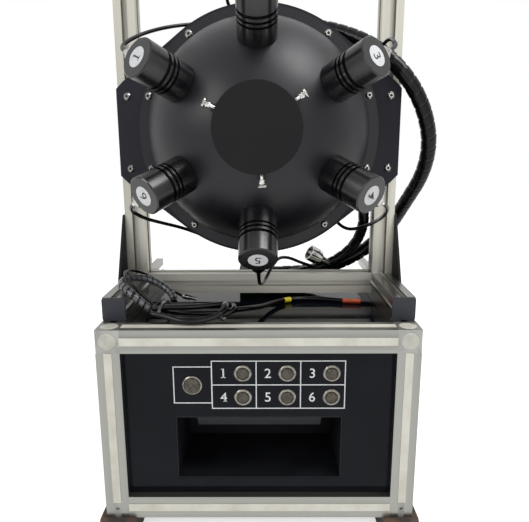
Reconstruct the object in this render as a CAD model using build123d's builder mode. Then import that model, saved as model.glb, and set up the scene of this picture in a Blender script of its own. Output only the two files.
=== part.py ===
from build123d import *
from math import acos, atan2, cos, degrees, hypot, radians, sin, sqrt, tan
import os

# Integrating sphere station: a white-lined sphere with six lamp housings and a capped front port.
# It hangs in a frame of slotted aluminium profile above a cabinet with the lamp supplies and switches.
# The origin is on the floor under the middle of the cabinet; +X is right, -Y is the front, +Z is up.

# Slotted profile
profile = 30.0
mouth = 8.2
lip = 2.0
slot_depth = 8.8
slot_room = 16.4
slot_shoulder = 4.5
slot_floor = 8.0
bar_bore = 7.2
slot_fit = 0.1

# Cabinet
cabinet_width = 400.0
cabinet_depth = 330.0
cabinet_height = 258.0
foot_height = 22.0
foot_top = 46.0
foot_base = 54.0
foot_edge = 3.0
panel = 5.0
panel_bite = 6.0
panel_setback = 11.4
shell_panel = 3.0
cover_width = 10.0
cover_proud = 0.8
cover_stem = 8.0
cover_stem_depth = 2.2
cap_disc = 22.0
cap_disc_recess = 1.8
cap_disc_thick = 2.4
cap_disc_fit = 0.2
cube_edge = 2.0
joint_length = 22.0
joint_deep = 5.0
joint_wide = 14.0
joint_screw_rise = 13.5
joint_screw = 4.5
notch_fit = 0.2

# Switches: a power button on the left, then two rows of three lamp buttons
lamp_button_pitch = 56.0
lamp_button_first = -20.0
row_pitch = 32.3
row_top = 60.8
power_x = -84.0
power_drop = 76.6
lamp_bezel = 22.0
lamp_bezel_thick = 2.0
lamp_barrel = 19.0
lamp_cap = 13.7
power_bezel = 25.0
power_bezel_thick = 2.2
power_barrel = 22.0
power_cap = 20.0
cap_proud = 1.4
cap_length = 12.0
cap_gap = 0.1
barrel_length = 24.0
barrel_floor = 3.0
hole_fit = 0.15
nut_thick = 3.0
nut_over = 4.0

# Open pocket under the switches
pocket_width = 214.0
pocket_top = 119.7
pocket_bottom = 208.0
pocket_depth = 110.0
pocket_wall = 1.5
pocket_fit = 0.2
hood_drop = 28.0
hood_start = 14.0
hood_run = 19.0
hood_width = 164.0
hood_thick = 1.5

# Lamp supplies, control board and mains inlet inside and behind the cabinet
supply_width = 98.0
supply_depth = 159.0
supply_height = 30.0
supply_pitch = 108.0
supply_back = 52.0
board_width = 140.0
board_depth = 40.0
board_thick = 1.6
board_back = 128.0
board_rise = 5.0
inlet_width = 48.0
inlet_height = 28.0
inlet_depth = 20.0
inlet_x = -110.0
inlet_drop = 190.0
inlet_lip = 8.0
vent_x = 80.0
vent_drop = 90.0
vent_pitch = 12.0
vent_count = 7
vent_length = 70.0
vent_width = 5.0

# Upper frame
bearer_length = 250.0
upright_length = 430.0
upright_front = 6.0
end_cap_thick = 3.0
end_cap_round = 3.0
gusset_thick = 3.0
gusset_rise = 90.0
gusset_top_half = 17.0
gusset_low_half = 61.0
gusset_foot_half = 69.0
gusset_low = 284.0
gusset_knee = 296.0

# Sphere and its mounting plate
sphere_rise = 238.0
sphere_front = -2.0
sphere_inner = 150.0
sphere_wall = 3.5
rim_radius = 169.0
rim_thick = 4.0
plate_thick = 8.0
plate_radius = 173.0
ear_half = 60.0
ear_corner = 10.0
ear_screw_half = 50.0
seat_fit = 0.3
rim_screw_radius = 162.0
rim_screws = 10
button_head = 10.5
button_rise = 3.3
button_socket = 4.0
screw_shank = 6.0
shank_fit = 0.2
screw_bite = 5.0
baffle_radius = 26.0
baffle_thick = 2.0
baffle_back = 62.0
baffle_post = 4.0

# Front port
port_outer = 104.0
port_inner = 92.0
port_reach = 160.0
port_cap_thick = 3.0
spigot_depth = 12.0
spigot_fit = 0.1
thumb_angles = (35.0, 155.0, 275.0)
thumb_setback = 6.0
thumb_shank = 4.0
thumb_head = 12.0
thumb_head_length = 8.5
thumb_neck = 7.0
thumb_neck_length = 6.5
thumb_fit = 0.05
thumb_tip = 0.15
knurls = 16
knurl_depth = 0.5

# Lamp housings
lamp_count = 6
lamp_tilt = 45.0
lamp_body = 48.0
lamp_groove_floor = 40.0
lamp_collar_end = 164.0
lamp_grooves = ((174.5, 177.5), (180.5, 183.5), (187.0, 191.0))
lamp_end = 217.0
lamp_edge = 1.5
lamp_bore = 30.0
lamp_cavity_end = 209.0
lamp_hole = 30.0
collar_fit = 0.15
socket_front = 178.0
socket_radius = 11.0
socket_fit = 0.2
bulb_radius = 7.0
bulb_tip = 150.0
connector_at = 203.0
connector_flat = 3.0
connector_flange = 24.0
connector_flange_thick = 2.5
connector_nose = 14.0
plug_radius = 9.5
plug_length = 17.0
plug_boot = 4.5
plug_boot_length = 12.0

# Cables
lamp_cable = 5.0
main_cable = 20.0
lower_cable = 15.0
cable_lead_out = 20.0
deck_cable = 7.0
loop_cable = 9.0
plug_cable = 4.0
hank_width = 44.0
hank_thick = 17.0
hank_length = 108.0
rest_gap = 0.3
hank_end = 7.0
connector_length = 27.0
spare_radius = 12.5
entry_y = 93.0
entry_width = 44.0
entry_depth = 60.0
entry_height = 36.0
entry_round = 4.0

# Worked-out places
half_bar = profile / 2
half_width = cabinet_width / 2
half_depth = cabinet_depth / 2
cabinet_top = foot_height + cabinet_height
post_x = half_width - half_bar
post_y = half_depth - half_bar
rail_top = cabinet_top - half_bar
rail_low = foot_height + half_bar
inner_x = half_width - profile
inner_y = half_depth - profile
bearer_z = cabinet_top + half_bar
upright_foot = cabinet_top + profile
upright_y = upright_front + half_bar
sphere_centre = Vector(0, sphere_front, cabinet_top + sphere_rise)
sphere_outer = sphere_inner + sphere_wall
rail_height = rail_top - profile - rail_low
button_face_y = -half_depth + panel_setback
deck_top = cabinet_top - panel_setback


def slotted_bar(plane, length):
    """A bar of slotted profile with its section on the plane and its length along the normal."""
    half_mouth = mouth / 2
    room = slot_room / 2
    lip_x = half_bar - lip
    floor_x = half_bar - slot_depth
    shoulder_x = lip_x - (slot_depth - lip - slot_shoulder + 0.2)
    outline = [
        (half_bar, half_mouth),
        (lip_x, half_mouth),
        (lip_x, room),
        (shoulder_x, room),
        (floor_x, slot_floor / 2),
        (floor_x, -slot_floor / 2),
        (shoulder_x, -room),
        (lip_x, -room),
        (lip_x, -half_mouth),
        (half_bar, -half_mouth),
    ]
    with BuildSketch(plane) as section:
        Rectangle(profile, profile)
        with PolarLocations(0, 4):
            Polygon(*outline, align=None, mode=Mode.SUBTRACT)
        Circle(bar_bore / 2, mode=Mode.SUBTRACT)
    extrude(section.sketch, amount=length)


def turned(origin, direction, outline, mode=Mode.ADD):
    """A turned solid: an outline of (radius, distance along) points spun about the direction."""
    origin = Vector(origin)
    direction = Vector(direction).normalized()
    side = Plane(origin, z_dir=direction)
    with BuildSketch(Plane(origin, x_dir=side.x_dir, z_dir=side.y_dir * -1)) as half:
        Polygon(*outline, align=None)
    revolve(half.sketch, axis=Axis(origin, direction), mode=mode)


def bar_along(origin, direction, radius, length, mode=Mode.ADD, start=0.0):
    """A plain round bar along a direction."""
    with BuildSketch(Plane(Vector(origin) + Vector(direction).normalized() * start, z_dir=direction)) as disc:
        Circle(radius)
    extrude(disc.sketch, amount=length, mode=mode)


def button_screw(origin, outward, shank):
    """A button-head screw: its head sits on the origin and its shank runs inwards."""
    radius = button_head / 2
    turned(
        origin,
        outward,
        [
            (0, -shank),
            (screw_shank / 2, -shank),
            (screw_shank / 2, 0),
            (radius, 0),
            (radius, button_rise * 0.35),
            (radius * 0.62, button_rise),
            (button_socket / 2, button_rise),
            (button_socket / 2, button_rise * 0.3),
            (0, button_rise * 0.3),
        ],
    )


def slot_cover(plane, length):
    """A strip that clips over a slot: it starts at the plane's origin and runs along its x."""
    with BuildSketch(plane) as cap:
        Rectangle(length, cover_width, align=(Align.MIN, Align.CENTER))
    extrude(cap.sketch, amount=cover_proud)
    with BuildSketch(plane) as stem:
        Rectangle(length, cover_stem, align=(Align.MIN, Align.CENTER))
    extrude(stem.sketch, amount=-cover_stem_depth)


def panel_outline(width, height, low_corners):
    """A panel that sits in the slots, with its corners notched where a post or cube fills them."""
    Rectangle(width, height)
    notch = panel_bite + notch_fit
    for side in (-1, 1):
        spots = [(side * (width - notch) / 2, (height - notch) / 2)]
        if low_corners:
            spots.append((side * (width - notch) / 2, -(height - notch) / 2))
        with Locations(*spots):
            Rectangle(notch, notch, mode=Mode.SUBTRACT)


def cable_run(points, diameter, name):
    """A plain round cable along straight runs joined by arcs as large as the runs allow."""
    stops = [Vector(p) for p in points]
    radii = []
    for before, here, after in zip(stops, stops[1:], stops[2:]):
        turn = (here - before).get_angle(after - here)
        shorter = min((here - before).length, (after - here).length)
        radii.append(0.45 * shorter / tan(radians(turn) / 2))
    with BuildLine() as route:
        FilletPolyline(*stops, radius=radii)
    path = route.wire()
    start = Plane(path @ 0, z_dir=path % 0)
    with BuildSketch(start) as section:
        Circle(diameter / 2)
    sweep(section.sketch, path=path)
    tightest = min(radii) / diameter
    print(f"{name}: length {path.length:.0f}, radii {[round(r) for r in radii]}, tightest {tightest:.1f} d")


def lamp_direction(index):
    """The outward axis of a lamp: number 1 is at ten o'clock and the count runs clockwise."""
    around = radians(-60 + 60 * index)
    tilt = radians(lamp_tilt)
    return Vector(sin(around) * sin(tilt), -cos(tilt), cos(around) * sin(tilt))


def lamp_rear(index):
    """The direction across a lamp in which its connector leaves, outwards and to the rear."""
    around = radians(-60 + 60 * index)
    tilt = radians(lamp_tilt)
    return Vector(sin(around) * cos(tilt), sin(tilt), cos(around) * cos(tilt))


# Cabinet frame
with BuildPart() as cabinet_posts:
    for side_x in (-post_x, post_x):
        for side_y in (-post_y, post_y):
            slotted_bar(Plane((side_x, side_y, foot_height), z_dir=(0, 0, 1)), cabinet_height - profile)

with BuildPart() as cabinet_cross_rails:
    for side_y in (-post_y, post_y):
        for height in (rail_low, rail_top):
            slotted_bar(Plane((-inner_x, side_y, height), z_dir=(1, 0, 0)), 2 * inner_x)

with BuildPart() as cabinet_side_rails:
    for side_x in (-post_x, post_x):
        for height in (rail_low, rail_top):
            slotted_bar(Plane((side_x, -inner_y, height), z_dir=(0, 1, 0)), 2 * inner_y)

corners = [(x, y) for x in (-1, 1) for y in (-1, 1)]

with BuildPart() as corner_cubes:
    for side_x, side_y in corners:
        with Locations((side_x * post_x, side_y * post_y, rail_top)):
            Box(profile, profile, profile)
    outer = edges().filter_by(lambda edge: abs(edge.center().X) > half_width - 0.1)
    fillet(outer.filter_by(lambda edge: abs(edge.center().Y) > half_depth - 0.1), cube_edge)
    for side_x, side_y in corners:
        centre = Vector(side_x * post_x, side_y * post_y, rail_top)
        for outward in (Vector(side_x, 0, 0), Vector(0, side_y, 0), Vector(0, 0, 1)):
            face = centre + outward * half_bar
            reach = cap_disc / 2 + cap_disc_fit
            bar_along(face, outward * -1, reach, cap_disc_recess, mode=Mode.SUBTRACT)

with BuildPart() as corner_caps:
    for side_x, side_y in corners:
        centre = Vector(side_x * post_x, side_y * post_y, rail_top)
        for outward in (Vector(side_x, 0, 0), Vector(0, side_y, 0), Vector(0, 0, 1)):
            seat = centre + outward * (half_bar - cap_disc_recess)
            rim = cap_disc / 2
            turned(
                seat,
                outward,
                [
                    (0, 0),
                    (rim, 0),
                    (rim, cap_disc_thick - 0.5),
                    (rim - 1.2, cap_disc_thick),
                    (0, cap_disc_thick),
                ],
            )

with BuildPart() as slot_joints:
    for side_x, side_y in corners:
        foot_point = (side_x * post_x, side_y * half_depth, foot_height)
        face = Plane(foot_point, x_dir=(-side_y, 0, 0), z_dir=(0, side_y, 0))
        with BuildSketch(face) as tongue:
            Rectangle(cover_stem, joint_length, align=(Align.CENTER, Align.MIN))
        extrude(tongue.sketch, amount=-lip)
        with BuildSketch(face.offset(-lip - slot_fit)) as anchor:
            Rectangle(joint_wide, joint_length, align=(Align.CENTER, Align.MIN))
        extrude(anchor.sketch, amount=-joint_deep / 2)
        with BuildSketch(face.offset(-lip)) as core:
            Rectangle(cover_stem, joint_length, align=(Align.CENTER, Align.MIN))
        extrude(core.sketch, amount=-joint_deep)
        with BuildSketch(face) as hole:
            with Locations((0, joint_screw_rise)):
                Circle(joint_screw / 2)
        extrude(hole.sketch, amount=-lip, mode=Mode.SUBTRACT)

with BuildPart() as slot_covers:
    low = foot_height + joint_length + slot_fit
    high = cabinet_top - profile
    run = high - low
    upwards = (0, 0, 1)
    for side_x, side_y in corners:
        faced = Plane((side_x * post_x, side_y * half_depth, low), x_dir=upwards, z_dir=(0, side_y, 0))
        slot_cover(faced, run)
        sided = Plane((side_x * half_width, side_y * post_y, low), x_dir=upwards, z_dir=(side_x, 0, 0))
        slot_cover(sided, run)
    for height in (rail_low, rail_top):
        for side in (-1, 1):
            front = Plane((-inner_x, side * half_depth, height), x_dir=(1, 0, 0), z_dir=(0, side, 0))
            slot_cover(front, 2 * inner_x)
            flank = Plane((side * half_width, -inner_y, height), x_dir=(0, 1, 0), z_dir=(side, 0, 0))
            slot_cover(flank, 2 * inner_y)
    for side in (-1, 1):
        slot_cover(Plane((-inner_x, side * post_y, cabinet_top), x_dir=(1, 0, 0), z_dir=upwards), 2 * inner_x)

with BuildPart() as feet:
    for side_x, side_y in corners:
        top = Plane((side_x * post_x, side_y * post_y, foot_height), z_dir=(0, 0, 1))
        with BuildSketch(top.offset(-foot_height)) as sole:
            RectangleRounded(foot_base, foot_base, foot_edge * 2)
        with BuildSketch(top) as head:
            RectangleRounded(foot_top, foot_top, foot_edge * 2)
        loft([sole.sketch.face(), head.sketch.face()])

# Panels
panel_width = 2 * inner_x + 2 * panel_bite
panel_run = 2 * inner_y + 2 * panel_bite
panel_height = rail_height + 2 * panel_bite
panel_mid = foot_height + profile + rail_height / 2
front_plane = Plane((0, button_face_y, 0), x_dir=(1, 0, 0), z_dir=(0, -1, 0))
lamp_switch_spots = []
for row in (0, 1):
    for column in (0, 1, 2):
        lamp_switch_spots.append(
            (lamp_button_first + column * lamp_button_pitch, cabinet_top - row_top - row * row_pitch)
        )
power_spot = (power_x, cabinet_top - power_drop)
pocket_height = pocket_bottom - pocket_top
pocket_mid = cabinet_top - (pocket_top + pocket_bottom) / 2

with BuildPart() as front_panel:
    with BuildSketch(Plane((0, button_face_y, panel_mid), x_dir=(1, 0, 0), z_dir=(0, -1, 0))):
        panel_outline(panel_width, panel_height, low_corners=False)
        with Locations(*[(x, z - panel_mid) for x, z in lamp_switch_spots]):
            Circle(lamp_barrel / 2 + hole_fit, mode=Mode.SUBTRACT)
        with Locations((power_spot[0], power_spot[1] - panel_mid)):
            Circle(power_barrel / 2 + hole_fit, mode=Mode.SUBTRACT)
        with Locations((0, pocket_mid - panel_mid)):
            Rectangle(pocket_width, pocket_height, mode=Mode.SUBTRACT)
    extrude(amount=-panel)

with BuildPart() as front_pocket:
    tray_width = pocket_width - 2 * pocket_fit
    tray_height = pocket_height - 2 * pocket_fit
    with BuildSketch(front_plane.offset(-panel - pocket_wall)) as flange:
        with Locations((0, pocket_mid)):
            Rectangle(tray_width + 20, tray_height + 20)
            Rectangle(tray_width - 2 * pocket_wall, tray_height - 2 * pocket_wall, mode=Mode.SUBTRACT)
    extrude(flange.sketch, amount=pocket_wall)
    with BuildSketch(front_plane.offset(-pocket_depth)) as wall:
        with Locations((0, pocket_mid)):
            Rectangle(tray_width, tray_height)
            Rectangle(tray_width - 2 * pocket_wall, tray_height - 2 * pocket_wall, mode=Mode.SUBTRACT)
    extrude(wall.sketch, amount=pocket_depth - 0.5)
    with BuildSketch(front_plane.offset(-pocket_depth)) as back:
        with Locations((0, pocket_mid)):
            Rectangle(tray_width, tray_height)
    extrude(back.sketch, amount=pocket_wall)

with BuildPart() as pocket_hood:
    ceiling = cabinet_top - pocket_top - pocket_fit - pocket_wall
    leaf = Plane((-hood_width / 2, button_face_y + hood_start, ceiling), x_dir=(0, 1, 0), z_dir=(1, 0, 0))
    with BuildSketch(leaf) as hood:
        Polygon(
            (0, 0),
            (0, -hood_thick),
            (hood_run, -hood_drop),
            (hood_run + 12, -hood_drop),
            (hood_run + 12, -hood_drop + hood_thick),
            (hood_run + hood_thick, -hood_drop + hood_thick),
            (hood_thick + 1, -hood_thick),
            (hood_run + 6, -hood_thick),
            (hood_run + 6, 0),
            align=None,
        )
    extrude(hood.sketch, amount=hood_width)

with BuildPart() as deck:
    with BuildSketch(Plane.XY.offset(deck_top)):
        panel_outline(panel_width, panel_run, low_corners=True)
    extrude(amount=-panel)

with BuildPart() as base_panel:
    with BuildSketch(Plane.XY.offset(foot_height + panel_setback)):
        panel_outline(panel_width, panel_run, low_corners=True)
    extrude(amount=shell_panel)

with BuildPart() as side_panels:
    for side_x in (-1, 1):
        side_face = (side_x * (half_width - panel_setback), 0, panel_mid)
        with BuildSketch(Plane(side_face, x_dir=(0, side_x, 0), z_dir=(side_x, 0, 0))) as sheet:
            panel_outline(panel_run, panel_height, low_corners=False)
        extrude(sheet.sketch, amount=-shell_panel)

with BuildPart() as rear_panel:
    rear_plane = Plane((0, half_depth - panel_setback, panel_mid), x_dir=(-1, 0, 0), z_dir=(0, 1, 0))
    with BuildSketch(rear_plane):
        panel_outline(panel_width, panel_height, low_corners=False)
        with Locations((-inlet_x, cabinet_top - inlet_drop - panel_mid)):
            Rectangle(inlet_width - inlet_lip, inlet_height - inlet_lip, mode=Mode.SUBTRACT)
        with Locations((-vent_x, cabinet_top - vent_drop - panel_mid)):
            with GridLocations(0, vent_pitch, 1, vent_count):
                SlotOverall(vent_length, vent_width, mode=Mode.SUBTRACT)
    extrude(amount=-shell_panel)

# Switches
with BuildPart() as lamp_switches:
    for x, z in lamp_switch_spots:
        turned(
            (x, button_face_y, z),
            (0, -1, 0),
            [
                (lamp_cap / 2 + cap_gap, lamp_bezel_thick),
                (lamp_bezel / 2 - 1, lamp_bezel_thick),
                (lamp_bezel / 2, lamp_bezel_thick - 0.8),
                (lamp_bezel / 2, 0),
                (lamp_barrel / 2, 0),
                (lamp_barrel / 2, -barrel_length),
                (0, -barrel_length),
                (0, -barrel_length + barrel_floor),
                (lamp_cap / 2 + cap_gap, -barrel_length + barrel_floor),
            ],
        )

with BuildPart() as power_switch:
    turned(
        (power_spot[0], button_face_y, power_spot[1]),
        (0, -1, 0),
        [
            (power_cap / 2 + cap_gap, power_bezel_thick),
            (power_bezel / 2 - 1, power_bezel_thick),
            (power_bezel / 2, power_bezel_thick - 0.8),
            (power_bezel / 2, 0),
            (power_barrel / 2, 0),
            (power_barrel / 2, -barrel_length),
            (0, -barrel_length),
            (0, -barrel_length + barrel_floor),
            (power_cap / 2 + cap_gap, -barrel_length + barrel_floor),
        ],
    )

with BuildPart() as switch_nuts:
    with BuildSketch(front_plane.offset(-panel)) as nuts:
        with Locations(*lamp_switch_spots):
            RegularPolygon(lamp_barrel / 2 + nut_over, 6)
            Circle(lamp_barrel / 2 + slot_fit, mode=Mode.SUBTRACT)
        with Locations(power_spot):
            RegularPolygon(power_barrel / 2 + nut_over, 6)
            Circle(power_barrel / 2 + slot_fit, mode=Mode.SUBTRACT)
    extrude(nuts.sketch, amount=-nut_thick)

button_caps = []
for number, (x, z) in enumerate(lamp_switch_spots, start=1):
    with BuildPart() as lamp_button:
        turned(
            (x, button_face_y, z),
            (0, -1, 0),
            [
                (0, lamp_bezel_thick + cap_proud - cap_length),
                (lamp_cap / 2, lamp_bezel_thick + cap_proud - cap_length),
                (lamp_cap / 2, lamp_bezel_thick + cap_proud - 0.5),
                (lamp_cap / 2 - 0.5, lamp_bezel_thick + cap_proud),
                (0, lamp_bezel_thick + cap_proud),
            ],
        )
    lamp_button.part.label = f"lamp_button_{number}"
    button_caps.append(lamp_button.part)

with BuildPart() as power_button:
    turned(
        (power_spot[0], button_face_y, power_spot[1]),
        (0, -1, 0),
        [
            (0, power_bezel_thick + cap_proud - cap_length),
            (power_cap / 2, power_bezel_thick + cap_proud - cap_length),
            (power_cap / 2, power_bezel_thick + cap_proud - 0.5),
            (power_cap / 2 - 0.5, power_bezel_thick + cap_proud),
            (0, power_bezel_thick + cap_proud),
        ],
    )

# Electrics
base_top = foot_height + panel_setback + shell_panel

with BuildPart() as power_supplies:
    for column in (-1, 0, 1):
        with Locations((column * supply_pitch, supply_back, base_top + supply_height / 2)):
            Box(supply_width, supply_depth, supply_height)
    chamfer(edges().filter_by(Axis.Y).group_by(Axis.Z)[-1], 1.0)

with BuildPart() as control_board:
    with Locations((0, -board_back + board_depth, base_top + board_rise + board_thick / 2)):
        Box(board_width, board_depth, board_thick)
        with GridLocations(board_width - 10, board_depth - 10, 2, 2):
            Cylinder(3, board_rise + board_thick / 2, align=(Align.CENTER, Align.CENTER, Align.MAX))
    with Locations((0, -board_back + board_depth, base_top + board_rise + board_thick)):
        with GridLocations(22, 0, 6, 1):
            Box(14, 12, 10, align=(Align.CENTER, Align.CENTER, Align.MIN))

with BuildPart() as mains_inlet:
    inlet_point = (inlet_x, half_depth - panel_setback, cabinet_top - inlet_drop)
    inlet_plane = Plane(inlet_point, x_dir=(-1, 0, 0), z_dir=(0, 1, 0))
    with BuildSketch(inlet_plane) as bezel:
        RectangleRounded(inlet_width, inlet_height, 3)
    extrude(bezel.sketch, amount=2.5)
    with BuildSketch(inlet_plane) as body:
        Rectangle(inlet_width - inlet_lip - hole_fit * 2, inlet_height - inlet_lip - hole_fit * 2)
    extrude(body.sketch, amount=-inlet_depth)
    with BuildSketch(inlet_plane.offset(2.5)) as well:
        RectangleRounded(inlet_width - 22, inlet_height - 11, 2)
    extrude(well.sketch, amount=-16, mode=Mode.SUBTRACT)
    with BuildSketch(inlet_plane.offset(-13.5)) as pins:
        with Locations((-7, -2), (0, 2), (7, -2)):
            Rectangle(2, 4)
    extrude(pins.sketch, amount=13)

# Upper frame
with BuildPart() as bearers:
    for side_x in (-post_x, post_x):
        slotted_bar(Plane((side_x, -bearer_length / 2, bearer_z), z_dir=(0, 1, 0)), bearer_length)

with BuildPart() as cross_rail:
    slotted_bar(Plane((-inner_x, upright_y, bearer_z), z_dir=(1, 0, 0)), 2 * inner_x)

with BuildPart() as uprights:
    for side_x in (-post_x, post_x):
        slotted_bar(Plane((side_x, upright_y, upright_foot), z_dir=(0, 0, 1)), upright_length)

with BuildPart() as end_caps:
    for side_x in (-post_x, post_x):
        front = Plane((side_x, -bearer_length / 2, bearer_z), x_dir=(1, 0, 0), z_dir=(0, -1, 0))
        with BuildSketch(front) as cap:
            RectangleRounded(profile, profile, end_cap_round)
        extrude(cap.sketch, amount=end_cap_thick)
        top = Plane((side_x, upright_y, upright_foot + upright_length), z_dir=(0, 0, 1))
        with BuildSketch(top) as lid:
            RectangleRounded(profile, profile, end_cap_round)
        extrude(lid.sketch, amount=end_cap_thick)

gusset_screw_spots = [(0, 395), (0, 345), (0, 318), (-44, 295), (44, 295)]

with BuildPart() as gussets:
    for side_x in (-1, 1):
        wall_plane = Plane((side_x * half_width, upright_y, 0), x_dir=(0, side_x, 0), z_dir=(side_x, 0, 0))
        top_z = upright_foot + gusset_rise
        with BuildSketch(wall_plane) as web:
            Polygon(
                (-gusset_top_half, top_z),
                (-gusset_low_half, upright_foot),
                (-gusset_foot_half, gusset_knee),
                (-gusset_foot_half, gusset_low),
                (gusset_foot_half, gusset_low),
                (gusset_foot_half, gusset_knee),
                (gusset_low_half, upright_foot),
                (gusset_top_half, top_z),
                align=None,
            )
            with Locations(*gusset_screw_spots):
                Circle(screw_shank / 2 + shank_fit, mode=Mode.SUBTRACT)
        extrude(web.sketch, amount=gusset_thick)

# Mounting plate
plate_back = sphere_front + plate_thick
plate_plane = Plane(sphere_centre, x_dir=(1, 0, 0), z_dir=(0, -1, 0))
rim_spots = PolarLocations(rim_screw_radius, rim_screws, start_angle=18)
ear_spots = [(x, z) for x in (-post_x, post_x) for z in (-ear_screw_half, ear_screw_half)]
neck_x = half_width - ear_corner
neck_z = ear_half + ear_corner

with BuildPart() as mounting_plate:
    with BuildSketch(plate_plane):
        Circle(plate_radius)
        reach = hypot(neck_x, neck_z)
        bend = degrees(atan2(neck_z, neck_x)) + degrees(acos(plate_radius / reach))
        touch = (plate_radius * cos(radians(bend)), plate_radius * sin(radians(bend)))
        Polygon(
            (half_width, ear_half),
            (neck_x, neck_z),
            touch,
            (-touch[0], touch[1]),
            (-neck_x, neck_z),
            (-half_width, ear_half),
            (-half_width, -ear_half),
            (-neck_x, -neck_z),
            (-touch[0], -touch[1]),
            (touch[0], -touch[1]),
            (neck_x, -neck_z),
            (half_width, -ear_half),
            align=None,
        )
        Circle(sphere_outer + seat_fit, mode=Mode.SUBTRACT)
        with rim_spots:
            Circle(screw_shank / 2 + shank_fit, mode=Mode.SUBTRACT)
        with Locations(*ear_spots):
            Circle(screw_shank / 2 + shank_fit, mode=Mode.SUBTRACT)
    extrude(amount=-plate_thick)
    with BuildSketch(plate_plane.offset(-plate_thick)) as seat:
        Circle(rim_radius + seat_fit)
        Circle(sphere_outer, mode=Mode.SUBTRACT)
    extrude(seat.sketch, amount=rim_thick, mode=Mode.SUBTRACT)

# Sphere in two halves; the seam lies on the plate's front face
with BuildPart() as front_hemisphere:
    with BuildSketch(Plane(sphere_centre, x_dir=(1, 0, 0), z_dir=(0, 0, -1))) as half:
        Circle(sphere_outer)
        with Locations((sphere_outer - 5, 0)):
            Rectangle(rim_radius - sphere_outer + 5, rim_thick, align=(Align.MIN, Align.MIN))
        Circle(sphere_inner, mode=Mode.SUBTRACT)
        Rectangle(2 * rim_radius, 2 * rim_radius, align=(Align.MAX, Align.CENTER), mode=Mode.SUBTRACT)
        Rectangle(2 * rim_radius, rim_radius, align=(Align.MIN, Align.MAX), mode=Mode.SUBTRACT)
    revolve(half.sketch, axis=Axis(sphere_centre, (0, -1, 0)))
    with BuildSketch(plate_plane) as holes:
        with rim_spots:
            Circle(screw_shank / 2 + shank_fit)
    extrude(holes.sketch, amount=rim_thick, mode=Mode.SUBTRACT)
    bar_along(sphere_centre, (0, -1, 0), port_inner / 2, sphere_outer, mode=Mode.SUBTRACT)
    for index in range(lamp_count):
        bar_along(sphere_centre, lamp_direction(index), lamp_hole / 2, 60, mode=Mode.SUBTRACT, start=110)

with BuildPart() as rear_hemisphere:
    with BuildSketch(Plane(sphere_centre, x_dir=(1, 0, 0), z_dir=(0, 0, 1))) as half:
        Circle(sphere_outer)
        with Locations((sphere_outer - 5, plate_thick - rim_thick)):
            Rectangle(rim_radius - sphere_outer + 5, rim_thick, align=(Align.MIN, Align.MIN))
        Circle(sphere_inner, mode=Mode.SUBTRACT)
        Rectangle(2 * rim_radius, 2 * rim_radius, align=(Align.MAX, Align.CENTER), mode=Mode.SUBTRACT)
        Rectangle(2 * rim_radius, rim_radius, align=(Align.MIN, Align.MAX), mode=Mode.SUBTRACT)
    revolve(half.sketch, axis=Axis(sphere_centre, (0, 1, 0)))
    with BuildSketch(plate_plane.offset(-plate_thick)) as holes:
        with rim_spots:
            Circle(screw_shank / 2 + shank_fit)
    extrude(holes.sketch, amount=plate_thick, mode=Mode.SUBTRACT)

with BuildPart() as baffle:
    turned(
        sphere_centre + Vector(0, -sphere_inner + baffle_back, 0),
        (0, -1, 0),
        [(0, 0), (baffle_radius, 0), (baffle_radius, baffle_thick), (0, baffle_thick)],
    )
    front_face = sphere_inner - baffle_back + baffle_thick
    reach = sqrt(sphere_inner**2 - front_face**2) - slot_fit
    arm_plane = Plane(sphere_centre + Vector(0, -front_face, 0), x_dir=(1, 0, 0), z_dir=(0, -1, 0))
    with BuildSketch(arm_plane) as arm:
        with Locations((baffle_radius - baffle_thick, 0)):
            Rectangle(reach - baffle_radius + baffle_thick, baffle_post, align=(Align.MIN, Align.CENTER))
    extrude(arm.sketch, amount=-baffle_thick)

with BuildPart() as button_screws:
    for spot in rim_spots.locations:
        place = sphere_centre + Vector(spot.position.X, -rim_thick, spot.position.Y)
        button_screw(place, (0, -1, 0), rim_thick + plate_thick - slot_fit)
    for x, z in ear_spots:
        button_screw(sphere_centre + Vector(x, 0, z), (0, -1, 0), plate_thick + screw_bite)
    for side_x in (-1, 1):
        for along, height in gusset_screw_spots:
            face = (side_x * (half_width + gusset_thick), upright_y + side_x * along, height)
            button_screw(face, (side_x, 0, 0), gusset_thick + screw_bite)

# Front port
port_seat = sqrt((sphere_outer + collar_fit) ** 2 - (port_inner / 2) ** 2)
thumb_height = port_reach - thumb_setback

with BuildPart() as port_collar:
    bar_along(sphere_centre, (0, -1, 0), port_outer / 2, port_reach - 100, start=100)
    bar_along(sphere_centre, (0, -1, 0), port_inner / 2, port_reach, mode=Mode.SUBTRACT)
    with Locations(sphere_centre):
        Sphere(sphere_outer + collar_fit, mode=Mode.SUBTRACT)
    for angle in thumb_angles:
        outward = Vector(cos(radians(angle)), 0, sin(radians(angle)))
        middle = sphere_centre + Vector(0, -thumb_height, 0)
        hole = thumb_shank / 2 + thumb_fit
        bar_along(middle, outward, hole, 30, mode=Mode.SUBTRACT, start=port_inner / 2 - 5)

with BuildPart() as port_cap:
    spigot = port_inner / 2 - spigot_fit
    turned(
        sphere_centre + Vector(0, -port_reach, 0),
        (0, -1, 0),
        [
            (0, -spigot_depth + 3),
            (spigot - 5, -spigot_depth + 3),
            (spigot - 5, -spigot_depth),
            (spigot, -spigot_depth),
            (spigot, 0),
            (port_outer / 2, 0),
            (port_outer / 2, port_cap_thick - 0.8),
            (port_outer / 2 - 0.8, port_cap_thick),
            (0, port_cap_thick),
        ],
    )

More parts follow.
